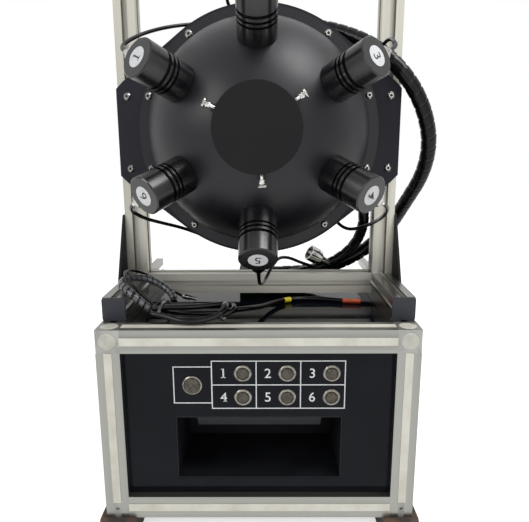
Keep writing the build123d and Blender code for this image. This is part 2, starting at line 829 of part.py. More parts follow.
thumb_parts = []
for number, angle in enumerate(thumb_angles, start=1):
    outward = Vector(cos(radians(angle)), 0, sin(radians(angle)))
    middle = sphere_centre + Vector(0, -thumb_height, 0)
    tip = port_inner / 2 - spigot_fit + thumb_tip
    neck = port_outer / 2 + 0.5
    head = neck + thumb_neck_length
    with BuildPart() as thumb_screw:
        turned(
            middle,
            outward,
            [
                (0, tip),
                (thumb_shank / 2, tip),
                (thumb_shank / 2, neck),
                (thumb_neck / 2, neck),
                (thumb_neck / 2, head),
                (thumb_head / 2, head),
                (thumb_head / 2, head + thumb_head_length - 1),
                (thumb_head / 2 - 1, head + thumb_head_length),
                (0, head + thumb_head_length),
            ],
        )
        with BuildSketch(Plane(middle + outward * head, z_dir=outward)) as flutes:
            with PolarLocations(thumb_head / 2 + 0.1, knurls):
                RegularPolygon(knurl_depth + 0.1, 4)
        extrude(flutes.sketch, amount=thumb_head_length, mode=Mode.SUBTRACT)
    thumb_screw.part.label = f"thumb_screw_{number}"
    thumb_parts.append(thumb_screw.part)

# Lamps
with BuildPart() as lamp_collars:
    for index in range(lamp_count):
        axis = lamp_direction(index)
        bar_along(sphere_centre, axis, lamp_body / 2, lamp_collar_end - 140, start=140)
        bar_along(sphere_centre, axis, lamp_hole / 2, 60, mode=Mode.SUBTRACT, start=130)
    with Locations(sphere_centre):
        Sphere(sphere_outer + collar_fit, mode=Mode.SUBTRACT)

with BuildPart() as lamp_housings:
    for index in range(lamp_count):
        radius = lamp_body / 2
        floor = lamp_groove_floor / 2
        bore = lamp_bore / 2
        outline = [(bore, lamp_collar_end), (radius, lamp_collar_end)]
        for near, far in lamp_grooves:
            outline += [(radius, near), (floor, near), (floor, far), (radius, far)]
        outline += [
            (radius, lamp_end - lamp_edge),
            (radius - lamp_edge, lamp_end),
            (0, lamp_end),
            (0, lamp_cavity_end),
            (bore, lamp_cavity_end),
        ]
        axis = lamp_direction(index)
        rear = lamp_rear(index)
        turned(sphere_centre, axis, outline)
        spot = sphere_centre + axis * connector_at
        with BuildSketch(Plane(spot + rear * (radius - connector_flat), x_dir=axis, z_dir=rear)) as flat:
            Rectangle(connector_flange + 1, connector_flange + 20)
        extrude(flat.sketch, amount=connector_flat + 1, mode=Mode.SUBTRACT)
        bar_along(spot, rear, connector_nose / 2 - 2, radius, mode=Mode.SUBTRACT)

with BuildPart() as lamp_sockets:
    for index in range(lamp_count):
        turned(
            sphere_centre,
            lamp_direction(index),
            [
                (0, socket_front),
                (socket_radius, socket_front),
                (socket_radius, connector_at - connector_nose / 2 - 2),
                (lamp_bore / 2 - socket_fit, connector_at - connector_nose / 2 - 2),
                (lamp_bore / 2 - socket_fit, connector_at - connector_nose / 2),
                (0, connector_at - connector_nose / 2),
            ],
        )

with BuildPart() as lamp_bulbs:
    for index in range(lamp_count):
        turned(
            sphere_centre,
            lamp_direction(index),
            [
                (0, bulb_tip),
                (bulb_radius * 0.6, bulb_tip + 1.5),
                (bulb_radius, bulb_tip + 6),
                (bulb_radius, socket_front - 8),
                (bulb_radius - 2, socket_front - 8),
                (bulb_radius - 2, socket_front),
                (0, socket_front),
            ],
        )

with BuildPart() as lamp_connectors:
    for index in range(lamp_count):
        rear = lamp_rear(index)
        axis = lamp_direction(index)
        base = sphere_centre + axis * connector_at + rear * (lamp_body / 2 - connector_flat)
        with BuildSketch(Plane(base, x_dir=axis, z_dir=rear)) as flange:
            RectangleRounded(connector_flange, connector_flange, 3)
        extrude(flange.sketch, amount=connector_flange_thick)
        bar_along(base, rear, connector_nose / 2 - 2.2, 6, start=-6)
        bar_along(base, rear, connector_nose / 2, 5, start=connector_flange_thick)

with BuildPart() as lamp_plugs:
    for index in range(lamp_count):
        rear = lamp_rear(index)
        base = sphere_centre + lamp_direction(index) * connector_at + rear * (lamp_body / 2 - connector_flat)
        foot = connector_flange_thick + 0.2
        deep = connector_flange_thick + 5
        turned(
            base,
            rear,
            [
                (connector_nose / 2 + 0.2, foot),
                (plug_radius, foot),
                (plug_radius, foot + plug_length - 4),
                (plug_radius - 2, foot + plug_length),
                (plug_boot, foot + plug_length),
                (plug_boot - 1.5, foot + plug_length + plug_boot_length),
                (0, foot + plug_length + plug_boot_length),
                (0, deep),
                (connector_nose / 2 + 0.2, deep),
            ],
        )
plug_end = lamp_body / 2 - connector_flat + connector_flange_thick + 0.2 + plug_length + plug_boot_length


def lamp_cable_start(index):
    """Where the cable leaves a lamp's plug, with a second point straight behind it."""
    rear = lamp_rear(index)
    base = sphere_centre + lamp_direction(index) * connector_at
    return [base + rear * plug_end, base + rear * (plug_end + cable_lead_out)]


# Cables; their points are chosen by hand along the routes that hold them
lamp_cable_routes = [
    [
        (-158, -66, 632),
        (-146, -26, 648),
        (-124, 6, 661),
        (-96, 28, 669),
        (-62, 44, 675),
        (-26, 53, 674),
        (12, 55, 671),
        (47, 48, 669),
    ],
    [
        (-8, -70, 722),
        (-22, -38, 728),
        (-38, -6, 722),
        (-46, 18, 704),
        (-40, 38, 688),
        (-14, 50, 682),
        (18, 54, 679),
        (47, 51, 676),
    ],
    [(168, -82, 624), (170, -58, 632), (167, -36, 633), (164, -16, 626)],
    [
        (167, -66, 405),
        (166, -24, 393),
        (154, 2, 382),
        (134, 16, 375),
        (118, 28, 384),
        (112, 36, 402),
        (122, 34, 420),
        (137, 29, 431),
        (149, 25, 436),
    ],
    [
        (2, -80, 316),
        (8, -52, 314),
        (16, -22, 324),
        (27, 10, 334),
        (44, 36, 330),
        (68, 52, 316),
        (94, 64, 306),
    ],
    [
        (-158, -60, 404),
        (-142, -14, 391),
        (-116, 18, 379),
        (-86, 34, 364),
        (-50, 40, 352),
        (-10, 42, 346),
        (30, 42, 348),
        (66, 40, 357),
        (98, 38, 374),
        (124, 34, 396),
        (148, 27, 424),
    ],
]

main_route = [
    (44, 50, 672),
    (82, 42, 668),
    (118, 22, 656),
    (150, -2, 638),
    (178, -22, 614),
    (206, -28, 582),
    (230, -18, 544),
    (244, -2, 500),
    (242, 20, 456),
    (226, 48, 414),
    (212, 76, 374),
    (184, 86, 340),
    (148, 88, 316),
    (110, 94, 300),
    (72, 100, 292),
    (40, 103, 290),
    (10, 103, 290.5),
]

lower_route = [
    (146, 24, 440),
    (160, 27, 404),
    (158, 36, 370),
    (146, 48, 342),
    (122, 58, 320),
    (92, 66, 305),
    (62, 74, 296),
    (34, 79, 291),
    (10, 80, 290.5),
]

with BuildPart() as lamp_cables:
    for index in range(lamp_count):
        start = lamp_cable_start(index)
        cable_run(start + lamp_cable_routes[index], lamp_cable, f"lamp cable {index + 1}")

with BuildPart() as main_bundle:
    cable_run(main_route, main_cable, "main bundle")

with BuildPart() as lower_bundle:
    cable_run(lower_route, lower_cable, "lower bundle")

with BuildPart() as cable_entry:
    with BuildSketch(Plane.XY.offset(deck_top)) as foot:
        with Locations((main_route[-1][0], entry_y)):
            Rectangle(entry_width, entry_depth, align=(Align.MAX, Align.CENTER))
    extrude(foot.sketch, amount=entry_height)
    fillet(cable_entry.edges().filter_by(Axis.Z), entry_round)

# Cords that lie on the deck and the front rail, from a tied hank
lying = cabinet_top + cover_proud + rest_gap
hank_start = Vector(-138, -108, lying + hank_thick / 2)
hank_along = Vector(1, -0.1, 0).normalized()
on_deck = deck_top + rest_gap + deck_cable / 2

with BuildPart() as deck_hank:
    with BuildSketch(Plane(hank_start, x_dir=(0, 0, 1), z_dir=hank_along)) as bundle:
        RectangleRounded(hank_thick, hank_width, hank_thick / 2 - rest_gap)
    extrude(bundle.sketch, amount=hank_length)
    fillet(deck_hank.faces().filter_by(GeomType.PLANE).sort_by(Axis.X)[-1].edges(), hank_end)

hank_end_point = hank_start + hank_along * hank_length
deck_lead_route = [
    tuple(hank_end_point + Vector(0, 6, 0)),
    (-14, -98, 284),
    (0, -72, 276),
    (14, -42, on_deck + 1),
    (34, -20, on_deck),
    (64, -9, on_deck),
    (96, -8, on_deck),
    (124, -12, on_deck),
]
loop_route = [
    (-139, -119, lying + 11),
    (-152, -124.5, 305),
    (-167, -119, 317),
    (-181, -103, 321),
    (-183, -80, 322),
    (-170, -61, 322),
    (-149, -53, 315),
    (-130, -57, 304),
    (-118, -70, 296.5),
    (-115, -84.5, 291.5),
]
plug_route = [
    (-139, -104, lying + 13),
    (-154, -104, 308),
    (-170, -98, 322),
    (-181, -84, 331),
    (-182, -66, 333),
    (-172, -46, 327),
    (-156, -30, 314),
    (-142, -20, 300),
    (-130, -12, 288),
    (-117, -8, 279.5),
]

with BuildPart() as deck_lead:
    cable_run(deck_lead_route, deck_cable, "deck lead")

with BuildPart() as wrapped_loop:
    cable_run(loop_route, loop_cable, "wrapped loop")

with BuildPart() as plug_lead:
    cable_run(plug_route, plug_cable, "plug lead")

with BuildPart() as deck_connector:
    last = Vector(*deck_lead_route[-1])
    heading = (last - Vector(*deck_lead_route[-2])).normalized()
    turned(
        last,
        heading,
        [
            (0, 0),
            (deck_cable / 2, 0),
            (deck_cable / 2, connector_length - 1),
            (deck_cable / 2 - 1, connector_length),
            (0, connector_length),
        ],
    )

with BuildPart() as lead_plug:
    last = Vector(*plug_route[-1])
    heading = (last - Vector(*plug_route[-2])).normalized()
    heading = Vector(heading.X, heading.Y, heading.Z / 2).normalized()
    turned(
        last,
        heading,
        [
            (0, 0),
            (plug_cable / 2 + 0.5, 0),
            (plug_cable / 2 + 2, 3),
            (plug_cable / 2 + 2, 13),
            (plug_cable / 2 + 1, 13),
            (plug_cable / 2 + 1, 22),
            (0, 22),
        ],
    )

spare_face = Vector(78, 48, 335)
spare_axis = Vector(0.83, 0.244, -0.51).normalized()

with BuildPart() as spare_connector:
    turned(
        spare_face,
        spare_axis,
        [
            (0, 6),
            (spare_radius - 2.5, 6),
            (spare_radius - 2.5, 0),
            (spare_radius, 0),
            (spare_radius, 15),
            (spare_radius - 1.5, 15),
            (spare_radius - 1.5, 20),
            (spare_radius - 5.5, 21),
            (spare_radius - 7.5, 41),
            (0, 41),
        ],
    )

# Pieces to write
pieces = {
    "cabinet_posts": cabinet_posts.part,
    "cabinet_cross_rails": cabinet_cross_rails.part,
    "cabinet_side_rails": cabinet_side_rails.part,
    "corner_cubes": corner_cubes.part,
    "corner_caps": corner_caps.part,
    "slot_joints": slot_joints.part,
    "slot_covers": slot_covers.part,
    "feet": feet.part,
    "front_panel": front_panel.part,
    "front_pocket": front_pocket.part,
    "pocket_hood": pocket_hood.part,
    "deck": deck.part,
    "base_panel": base_panel.part,
    "side_panels": side_panels.part,
    "rear_panel": rear_panel.part,
    "lamp_switches": lamp_switches.part,
    "power_switch": power_switch.part,
    "switch_nuts": switch_nuts.part,
    "power_button": power_button.part,
    "power_supplies": power_supplies.part,
    "control_board": control_board.part,
    "mains_inlet": mains_inlet.part,
    "bearers": bearers.part,
    "cross_rail": cross_rail.part,
    "uprights": uprights.part,
    "end_caps": end_caps.part,
    "gussets": gussets.part,
    "mounting_plate": mounting_plate.part,
    "front_hemisphere": front_hemisphere.part,
    "rear_hemisphere": rear_hemisphere.part,
    "baffle": baffle.part,
    "button_screws": button_screws.part,
    "port_collar": port_collar.part,
    "port_cap": port_cap.part,
    "lamp_collars": lamp_collars.part,
    "lamp_housings": lamp_housings.part,
    "lamp_sockets": lamp_sockets.part,
    "lamp_bulbs": lamp_bulbs.part,
    "lamp_connectors": lamp_connectors.part,
    "lamp_plugs": lamp_plugs.part,
    "lamp_cables": lamp_cables.part,
    "main_bundle": main_bundle.part,
    "lower_bundle": lower_bundle.part,
    "cable_entry": cable_entry.part,
    "deck_hank": deck_hank.part,
    "deck_lead": deck_lead.part,
    "deck_connector": deck_connector.part,
    "wrapped_loop": wrapped_loop.part,
    "plug_lead": plug_lead.part,
    "lead_plug": lead_plug.part,
    "spare_connector": spare_connector.part,
}
for part in button_caps + thumb_parts:
    pieces[part.label] = part

os.makedirs("parts", exist_ok=True)
for name, part in pieces.items():
    part.label = name
    export_step(part, f"parts/{name}.step")
print(f"{len(pieces)} nodes")
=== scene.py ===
"""Integrating sphere station: finishes, panel print, lamp labels, screws, cables and studio.

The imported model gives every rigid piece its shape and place. This file dresses those pieces and adds what a
solid model leaves out: printed marks, free cables with their wraps and ties, and the studio round them.
All sizes are in metres unless a name ends in _mm.
"""

import logging
from dataclasses import dataclass, field, replace
from enum import Enum
from math import cos, pi, radians, sin

import bpy
from mathutils import Matrix, Vector


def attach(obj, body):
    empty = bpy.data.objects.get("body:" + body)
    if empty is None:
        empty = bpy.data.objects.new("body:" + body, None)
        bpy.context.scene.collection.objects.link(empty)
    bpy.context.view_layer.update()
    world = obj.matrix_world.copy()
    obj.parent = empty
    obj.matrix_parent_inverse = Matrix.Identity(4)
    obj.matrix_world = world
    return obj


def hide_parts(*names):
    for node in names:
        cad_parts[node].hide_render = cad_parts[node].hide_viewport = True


logging.basicConfig(level=logging.INFO, format="%(message)s")
log = logging.getLogger("station")

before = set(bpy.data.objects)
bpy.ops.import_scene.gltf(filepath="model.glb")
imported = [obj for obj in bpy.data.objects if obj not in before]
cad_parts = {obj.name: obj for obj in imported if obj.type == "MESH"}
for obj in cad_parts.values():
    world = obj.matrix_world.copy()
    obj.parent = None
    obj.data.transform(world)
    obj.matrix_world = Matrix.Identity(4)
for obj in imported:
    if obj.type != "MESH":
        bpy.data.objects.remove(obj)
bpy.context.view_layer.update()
MM = 0.001
MM_PER_M = 1000
# Shares of the noise over which a finish goes from its main colour to its shade colour, and from gloss to
# haze.
PATCH_SPREAD = (0.42, 0.68)
GLOSS_SPREAD = (0.35, 0.7)
BUMP_STRENGTH = 0.6

Point = tuple[float, float, float]
FORWARD = Vector((0, -1, 0))
UP = Vector((0, 0, 1))


def linear(hex_colour: str) -> tuple[float, float, float, float]:
    """Turns an sRGB hex colour into linear RGBA.

    Args:
        hex_colour: The colour as #RRGGBB.

    Returns:
        Linear red, green and blue, and an alpha of 1.
    """
    channels = [int(hex_colour[i : i + 2], 16) / 255 for i in (1, 3, 5)]
    red, green, blue = [c / 12.92 if c <= 0.04045 else ((c + 0.055) / 1.055) ** 2.4 for c in channels]
    return red, green, blue, 1.0


def add_node(tree: bpy.types.NodeTree, kind: str, settings: dict | None = None, inputs: dict | None = None):
    """Adds a node with its settings, and links or fills its inputs.

    Args:
        tree: The node tree that gets the node.
        kind: The node's type name.
        settings: Attribute values of the node.
        inputs: Input name or number to a value, or to the socket that feeds it.

    Returns:
        The new node.
    """
    node = tree.nodes.new(kind)
    for name, value in (settings or {}).items():
        setattr(node, name, value)
    for name, value in (inputs or {}).items():
        if isinstance(value, bpy.types.NodeSocket):
            tree.links.new(value, node.inputs[name])
        else:
            node.inputs[name].default_value = value
    return node


class Along(Enum):
    """The direction that an extruded or brushed surface's lines run in, as a scale on its pattern."""

    NONE = (1.0, 1.0, 1.0)
    X = (0.02, 1.0, 1.0)
    Y = (1.0, 0.02, 1.0)
    Z = (1.0, 1.0, 0.02)


class Lay(Enum):
    """How a cable lies."""

    LOOSE = "loose"
    COILED = "coiled"


@dataclass(frozen=True)
class Finish:
    """One real surface: its colours, gloss, and the size of its grain.

    Attributes:
        name: What the real finish is.
        colour: Its main colour, as sRGB hex.
        shade: The colour of its handled, dusty or worn patches; on the nickel plating, the colour of its
            painted dark reflections.
        gloss: Lowest and highest roughness.
        metallic: 1 for bare metal.
        ior: Index of refraction, for what isn't metal.
        patch_mm: Size of the colour patches.
        grain_mm: Size of the surface grain.
        depth_mm: Height of that grain.
        along: The way that drawn or brushed lines run.
        specular: Share of the plain surface reflection that is left.
        see_through: Share of light that passes through.
    """

    name: str
    colour: str
    shade: str
    gloss: tuple[float, float]
    metallic: float = 0.0
    ior: float = 1.5
    patch_mm: float = 40.0
    grain_mm: float = 0.8
    depth_mm: float = 0.01
    along: Along = Along.NONE
    specular: float = 0.5
    see_through: float = 0.0

    def material(self) -> bpy.types.Material:
        """Builds the material once and returns it after that."""
        made = bpy.data.materials.get(self.name)
        if made:
            return made
        made = bpy.data.materials.new(self.name)
        made.use_nodes = True
        tree = made.node_tree
        tree.nodes.clear()
        place = add_node(tree, "ShaderNodeTexCoord").outputs["Object"]
        stretch = {"Vector": place, "Scale": self.along.value}
        lined = add_node(tree, "ShaderNodeMapping", None, stretch).outputs["Vector"]
        patch_noise = {"Vector": lined, "Scale": MM_PER_M / self.patch_mm, "Detail": 4.0, "Roughness": 0.6}
        patches = add_node(tree, "ShaderNodeTexNoise", None, patch_noise).outputs["Fac"]
        patch_share = {"Value": patches, "From Min": PATCH_SPREAD[0], "From Max": PATCH_SPREAD[1]}
        spread = add_node(tree, "ShaderNodeMapRange", None, patch_share).outputs["Result"]
        colours = {"Factor": spread, 6: linear(self.colour), 7: linear(self.shade)}
        tint = add_node(tree, "ShaderNodeMix", {"data_type": "RGBA"}, colours).outputs[2]
        grain_noise = {"Vector": lined, "Scale": MM_PER_M / self.grain_mm, "Detail": 2.0}
        grain = add_node(tree, "ShaderNodeTexNoise", None, grain_noise).outputs["Fac"]
        gloss_share = {
            "Value": patches,
            "From Min": GLOSS_SPREAD[0],
            "From Max": GLOSS_SPREAD[1],
            "To Min": self.gloss[0],
            "To Max": self.gloss[1],
        }
        gloss = add_node(tree, "ShaderNodeMapRange", None, gloss_share).outputs["Result"]
        bumps = {"Height": grain, "Strength": BUMP_STRENGTH, "Distance": self.depth_mm * MM}
        relief = add_node(tree, "ShaderNodeBump", None, bumps).outputs["Normal"]
        shader = add_node(
            tree,
            "ShaderNodeBsdfPrincipled",
            inputs={
                "Base Color": tint,
                "Roughness": gloss,
                "Normal": relief,
                "Metallic": self.metallic,
                "Specular IOR Level": self.specular,
                "Transmission Weight": self.see_through,
            },
        )
        if not self.metallic:
            shader.inputs["IOR"].default_value = self.ior
        add_node(tree, "ShaderNodeOutputMaterial", inputs={"Surface": shader.outputs["BSDF"]})
        return made


# Clear anodised extrusion: warm light grey, with faint die lines that run along the bar.
BAR_DEEP = Finish(
    "anodised_bar_deep", "#8B8B86", "#777773", (0.26, 0.42), metallic=1.0, grain_mm=1.2, along=Along.Y
)
BAR_UPRIGHT = replace(BAR_DEEP, name="anodised_bar_upright", along=Along.Z)
# The rails across the front are a little paler and hazier, from the hands that rest on them.
BAR_ACROSS = replace(
    BAR_DEEP, name="anodised_bar_across", colour="#8F8F8A", shade="#7B7B77", gloss=(0.32, 0.48), along=Along.X
)
# The bars of the stand are blasted and rougher, so they pick up less of what is black round them. They are
# also painted paler than the cabinet's bars, for the light that falls on them: painted light.
STAND_ACROSS = Finish(
    "blasted_bar_across_painted_light", "#C4C2B9", "#A9A79E", (0.52, 0.66), metallic=1.0, grain_mm=1.2, along=Along.X
)
STAND_UPRIGHT = replace(
    STAND_ACROSS,
    name="blasted_bar_upright_painted_light",
    colour="#B4B2A8",
    shade="#98968E",
    gloss=(0.42, 0.56),
    along=Along.Z,
)
# Die-cast zinc, tumbled and left bare: dull, a little darker than the bars, with a fine orange peel.
CAST_ZINC = Finish(
    "tumbled_die_cast_zinc", "#9C9C98", "#868683", (0.42, 0.58), 1.0, grain_mm=1.0, depth_mm=0.02
)
# Moulded polyamide strip and caps: off-white, matt, slightly yellowed.
PALE_STRIP = Finish("moulded_cream_strip", "#D0CEC3", "#BEBBAE", (0.45, 0.6), grain_mm=0.9, depth_mm=0.008)
# The same plastic in the round corner caps, handled more, so a little greyer.
CAP_PLASTIC = Finish(
    "moulded_grey_white_cap", "#BAB8AE", "#ABA99F", (0.45, 0.6), patch_mm=12, grain_mm=0.9,
    depth_mm=0.01,
)
# Cast acrylic sheet, polished: deep blue-black that mirrors what lies on it, with faint wiping marks.
ACRYLIC = Finish(
    "polished_black_acrylic", "#080B11", "#0E1118", (0.03, 0.11), ior=1.49, patch_mm=70,
    grain_mm=6, depth_mm=0.002, specular=0.1,
)
# Powder coated steel sheet: black with a fine orange peel.
POWDER = Finish(
    "black_powder_coat", "#0D0E12", "#14151A", (0.5, 0.62), grain_mm=0.9, depth_mm=0.03, specular=0.2
)
# The leaf at the top of the pocket is dark grey, painted lighter than the black walls round it for the light
# that falls on it: painted light.
HOOD_PAINTED_LIGHT = Finish(
    "hood_sheet_painted_light", "#34383A", "#2B2E30", (0.4, 0.55), patch_mm=30, grain_mm=0.9,
    depth_mm=0.02,
)
# Glass-filled polyamide, moulded: navy-black and matt.
NAVY_PLASTIC = Finish("moulded_navy_black", "#14161F", "#1B1E28", (0.5, 0.65), grain_mm=0.7, depth_mm=0.02)
# Moulded rubber with floor dust, brown where it has rubbed.
FOOT_RUBBER = Finish("scuffed_foot_rubber", "#2A2421", "#594232", (0.7, 0.85), patch_mm=18, depth_mm=0.05)
# Nickel plated brass, lightly hazed: warm bright metal. Its darker patches are painted reflections of the
# dark things round it.
NICKEL = Finish(
    "nickel_plated_brass", "#C6C5C1", "#6E6D6A", (0.08, 0.2), 1.0, patch_mm=5, grain_mm=0.5,
    depth_mm=0.004,
)
# The same plating on the panel switches, behind a brushed ring that is duller and warmer.
SWITCH_RING = Finish(
    "brushed_switch_ring", "#87837B", "#615E57", (0.2, 0.34), 1.0, patch_mm=4, grain_mm=0.4,
    depth_mm=0.01,
)
# Stainless steel with a turned and passivated face: darker and duller than the ring round it.
BUTTON_STEEL = Finish(
    "turned_stainless_cap", "#4E4A43", "#3B3833", (0.3, 0.42), 1.0, patch_mm=5, grain_mm=0.4,
    depth_mm=0.01,
)
# Stainless button head screws.
SCREW_STEEL = Finish(
    "stainless_screw", "#A9A8A4", "#7E7D7A", (0.16, 0.28), 1.0, patch_mm=4, grain_mm=0.5,
    depth_mm=0.004,
)
# Satin black anodised spinning: the turning lines are gone and it gives one broad soft highlight.
SATIN_SHELL = Finish(
    "satin_black_spun_shell", "#0B0B11", "#101018", (0.36, 0.46), patch_mm=80, grain_mm=1.1,
    depth_mm=0.012, specular=0.34,
)
# The flat plate has the same anodising over a coarser sheet, with a blue cast.
SATIN_PLATE = Finish(
    "satin_black_plate", "#12121B", "#181823", (0.5, 0.6), patch_mm=60, grain_mm=0.9,
    depth_mm=0.015, specular=0.22,
)
# Satin black anodised turning: crisper highlight down the side of each lamp body.
SATIN_BODY = Finish(
    "satin_black_turned_body", "#08080B", "#0E0E12", (0.23, 0.32), patch_mm=30, grain_mm=0.8,
    depth_mm=0.01, specular=0.5,
)
# Matt black anodised after bead blasting: the port cap shows almost no highlight.
MATT_CAP = Finish(
    "bead_blasted_black_cap", "#0A0A0C", "#0F0F12", (0.62, 0.72), patch_mm=50, grain_mm=0.6,
    depth_mm=0.03, specular=0.2,
)
# Barium sulphate paint on the baffle inside the sphere: bright, perfectly matt.
WHITE_DIFFUSER = Finish(
    "white_diffusing_paint", "#F0EFEB", "#E8E6E0", (0.9, 0.97), grain_mm=0.7, depth_mm=0.05,
    specular=0.1,
)
# Glazed steatite lamp sockets.
CERAMIC = Finish("glazed_steatite", "#E3DFD2", "#D6D1C2", (0.15, 0.25), grain_mm=1.5, depth_mm=0.01, ior=1.6)
# Soda-lime lamp glass.
LAMP_GLASS = Finish(
    "clear_lamp_glass", "#EEF3F5", "#E4EBEE", (0.02, 0.05), grain_mm=8, depth_mm=0.002,
    ior=1.52, see_through=0.95,
)
# Zinc plated sheet cases of the lamp supplies.
ZINC_CASE = Finish("zinc_plated_case", "#A4A6A4", "#8D8F8D", (0.35, 0.5), 1.0, patch_mm=22, grain_mm=1.0)
# Solder mask over a glass-epoxy board.
BOARD = Finish("green_solder_mask", "#1C4A30", "#173D28", (0.22, 0.35), patch_mm=12, grain_mm=1.0)
# Soft PVC cable jacket: black, smooth, with thin highlights along it.
JACKET = Finish(
    "black_pvc_jacket", "#08080A", "#0F0F12", (0.16, 0.28), patch_mm=14, grain_mm=0.9, depth_mm=0.012,
    specular=0.26,
)
# Red-orange moulded housing of the deck connector.
RED_MOULDING = Finish("red_orange_moulding", "#B4461F", "#9C3B1B", (0.4, 0.52), patch_mm=6, grain_mm=0.8)
# Yellow vinyl marker wrapped round the deck lead.
YELLOW_TAG = Finish("yellow_vinyl_marker", "#E2CE1F", "#D2BD1A", (0.35, 0.45), patch_mm=5, grain_mm=0.8)
# Screen printed ink on the acrylic: matt, light grey-white.
PRINT_INK = Finish("screen_printed_ink", "#D9DADB", "#CDCECF", (0.55, 0.7), patch_mm=8, grain_mm=0.6)
# Dark ring between a switch's bezel and its cap: a moulded seal, with painted shade in the gap round it. The
# dark hexagon in a screw's socket is painted shadow, as dark and as matt.
RING_SHADOW = Finish("switch_seal_and_painted_shadow", "#1B1A17", "#2A2824", (0.6, 0.75), patch_mm=4, grain_mm=0.6)
# Vinyl label disc, and the dark digit printed on it.
LABEL_VINYL = Finish("white_vinyl_label", "#CACBCD", "#BDBEC1", (0.35, 0.5), patch_mm=9, grain_mm=0.8)
LABEL_INK = Finish("black_label_ink", "#16171A", "#1E1F22", (0.5, 0.6), patch_mm=5, grain_mm=0.8)
# Clear polyethylene spiral wrap: milky at its edges, with sharp glints along the turns.
CLEAR_WRAP = Finish(
    "clear_polyethylene_wrap", "#8E9194", "#7C8083", (0.16, 0.28), patch_mm=9, grain_mm=1.5,
    ior=1.5, see_through=0.7,
)
# Black spiral wrap of the bundles: glossy, with thin bright glints on the edges of its turns.
BLACK_WRAP = Finish(
    "black_spiral_wrap", "#09090C", "#101013", (0.12, 0.22), patch_mm=10, grain_mm=1.5,
    specular=0.18,
)
# Clear plastic film twisted into a tie: see-through, with small glints.
CLEAR_TIE = Finish(
    "clear_film_tie", "#9A9B9A", "#8A8B8A", (0.15, 0.28), patch_mm=5, grain_mm=0.9, see_through=0.85
)

NODE_FINISHES: dict[Finish, tuple[str, ...]] = {
    BAR_ACROSS: ("cabinet_cross_rails",),
    BAR_DEEP: ("cabinet_side_rails", "bearers"),
    BAR_UPRIGHT: ("cabinet_posts",),
    STAND_ACROSS: ("cross_rail",),
    STAND_UPRIGHT: ("uprights",),
    CAST_ZINC: ("corner_cubes", "slot_joints"),
    PALE_STRIP: ("slot_covers",),
    CAP_PLASTIC: ("corner_caps",),
    ACRYLIC: ("front_panel", "deck"),
    HOOD_PAINTED_LIGHT: ("pocket_hood",),
    POWDER: ("front_pocket", "side_panels", "rear_panel", "base_panel", "gussets", "cable_entry"),
    NAVY_PLASTIC: ("end_caps", "mains_inlet"),
    FOOT_RUBBER: ("feet",),
    SWITCH_RING: ("lamp_switches", "power_switch"),
    NICKEL: (
        "switch_nuts",
        "lamp_connectors",
        "lamp_plugs",
        "spare_connector",
        "lead_plug",
    ),
    BUTTON_STEEL: ("power_button", *(f"lamp_button_{n}" for n in range(1, 7))),
    SCREW_STEEL: ("button_screws",),
    SATIN_SHELL: ("front_hemisphere", "rear_hemisphere"),
    SATIN_PLATE: ("mounting_plate",),
    SATIN_BODY: ("lamp_housings", "lamp_collars", "port_collar"),
    MATT_CAP: ("port_cap",),
    WHITE_DIFFUSER: ("baffle",),
    CERAMIC: ("lamp_sockets",),
    LAMP_GLASS: ("lamp_bulbs",),
    ZINC_CASE: ("power_supplies",),
    BOARD: ("control_board",),
    RED_MOULDING: ("deck_connector",),
}


def deselect() -> None:
    """Leaves nothing selected, because the loaded model arrives selected."""
    if bpy.context.object and bpy.context.object.mode != "OBJECT":
        bpy.ops.object.mode_set(mode="OBJECT")
    bpy.ops.object.select_all(action="DESELECT")


def pick_faces(piece: bpy.types.Object, wanted) -> None:
    """Selects the faces that pass a test, in face mode, and stays in edit mode.

    Args:
        piece: The mesh object being edited.
        wanted: A function from a face to True or False.
    """
    bpy.ops.object.mode_set(mode="OBJECT")
    for face in piece.data.polygons:
        face.select = wanted(face)
    for edge in piece.data.edges:
        edge.select = False
    for vertex in piece.data.vertices:
        vertex.select = False
    bpy.ops.object.mode_set(mode="EDIT")
    bpy.ops.mesh.select_mode(type="FACE")


def settle(piece: bpy.types.Object, place: Matrix) -> None:
    """Puts a piece's place into its mesh, so that its object stays at the origin.

    Args:
        piece: The mesh object, modelled round the origin.
        place: Where it goes.
    """
    piece.data.transform(place @ piece.matrix_world)
    piece.matrix_world = Matrix.Identity(4)
    piece.data.update()


def enter(piece: bpy.types.Object, finish: Finish, body: str = "frame") -> bpy.types.Object:
    """Gives a finished piece its material and the body that it rides on.

    Args:
        piece: The new object.
        finish: Its surface.
        body: The body that carries it.

    Returns:
        The same object.
    """
    piece.data.materials.clear()
    piece.data.materials.append(finish.material())
    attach(piece, body)
    log.info("piece %s rides on %s", piece.name, body)
    return piece


def facing(middle: Vector, outward: Vector, top: Vector) -> Matrix:
    """The place of a flat mark: its front looks outward and its top points up the surface.

    Args:
        middle: The mark's centre.
        outward: The surface's normal.
        top: The way that the mark's top points.

    Returns:
        The matrix from the mark's own axes to the station's.
    """
    front = outward.normalized()
    right = top.cross(front).normalized()
    turn = Matrix((right, front.cross(right), front)).transposed().to_4x4()
    return Matrix.Translation(middle) @ turn


def face_outwards() -> None:
    """Turns all faces of the piece in edit mode outwards."""
    bpy.ops.mesh.select_all(action="SELECT")
    bpy.ops.mesh.normals_make_consistent(inside=False)


def draw_up(height: float) -> None:
    """Draws all of the piece in edit mode up its own Z, and turns its faces outwards.

    Args:
        height: How far.
    """
    bpy.ops.mesh.select_all(action="SELECT")
    bpy.ops.mesh.extrude_region_move(TRANSFORM_OT_translate={"value": (0, 0, height)})
    face_outwards()


def work_in(piece: bpy.types.Object, kind: str, **settings: float | bool | str) -> None:
    """Adds a modifier to the active piece and applies it.

    Args:
        piece: The active object.
        kind: The modifier's type.
        **settings: Its values.
    """
    step = piece.modifiers.new(kind.lower(), kind)
    for name, value in settings.items():
        setattr(step, name, value)
    bpy.ops.object.modifier_apply(modifier=step.name)


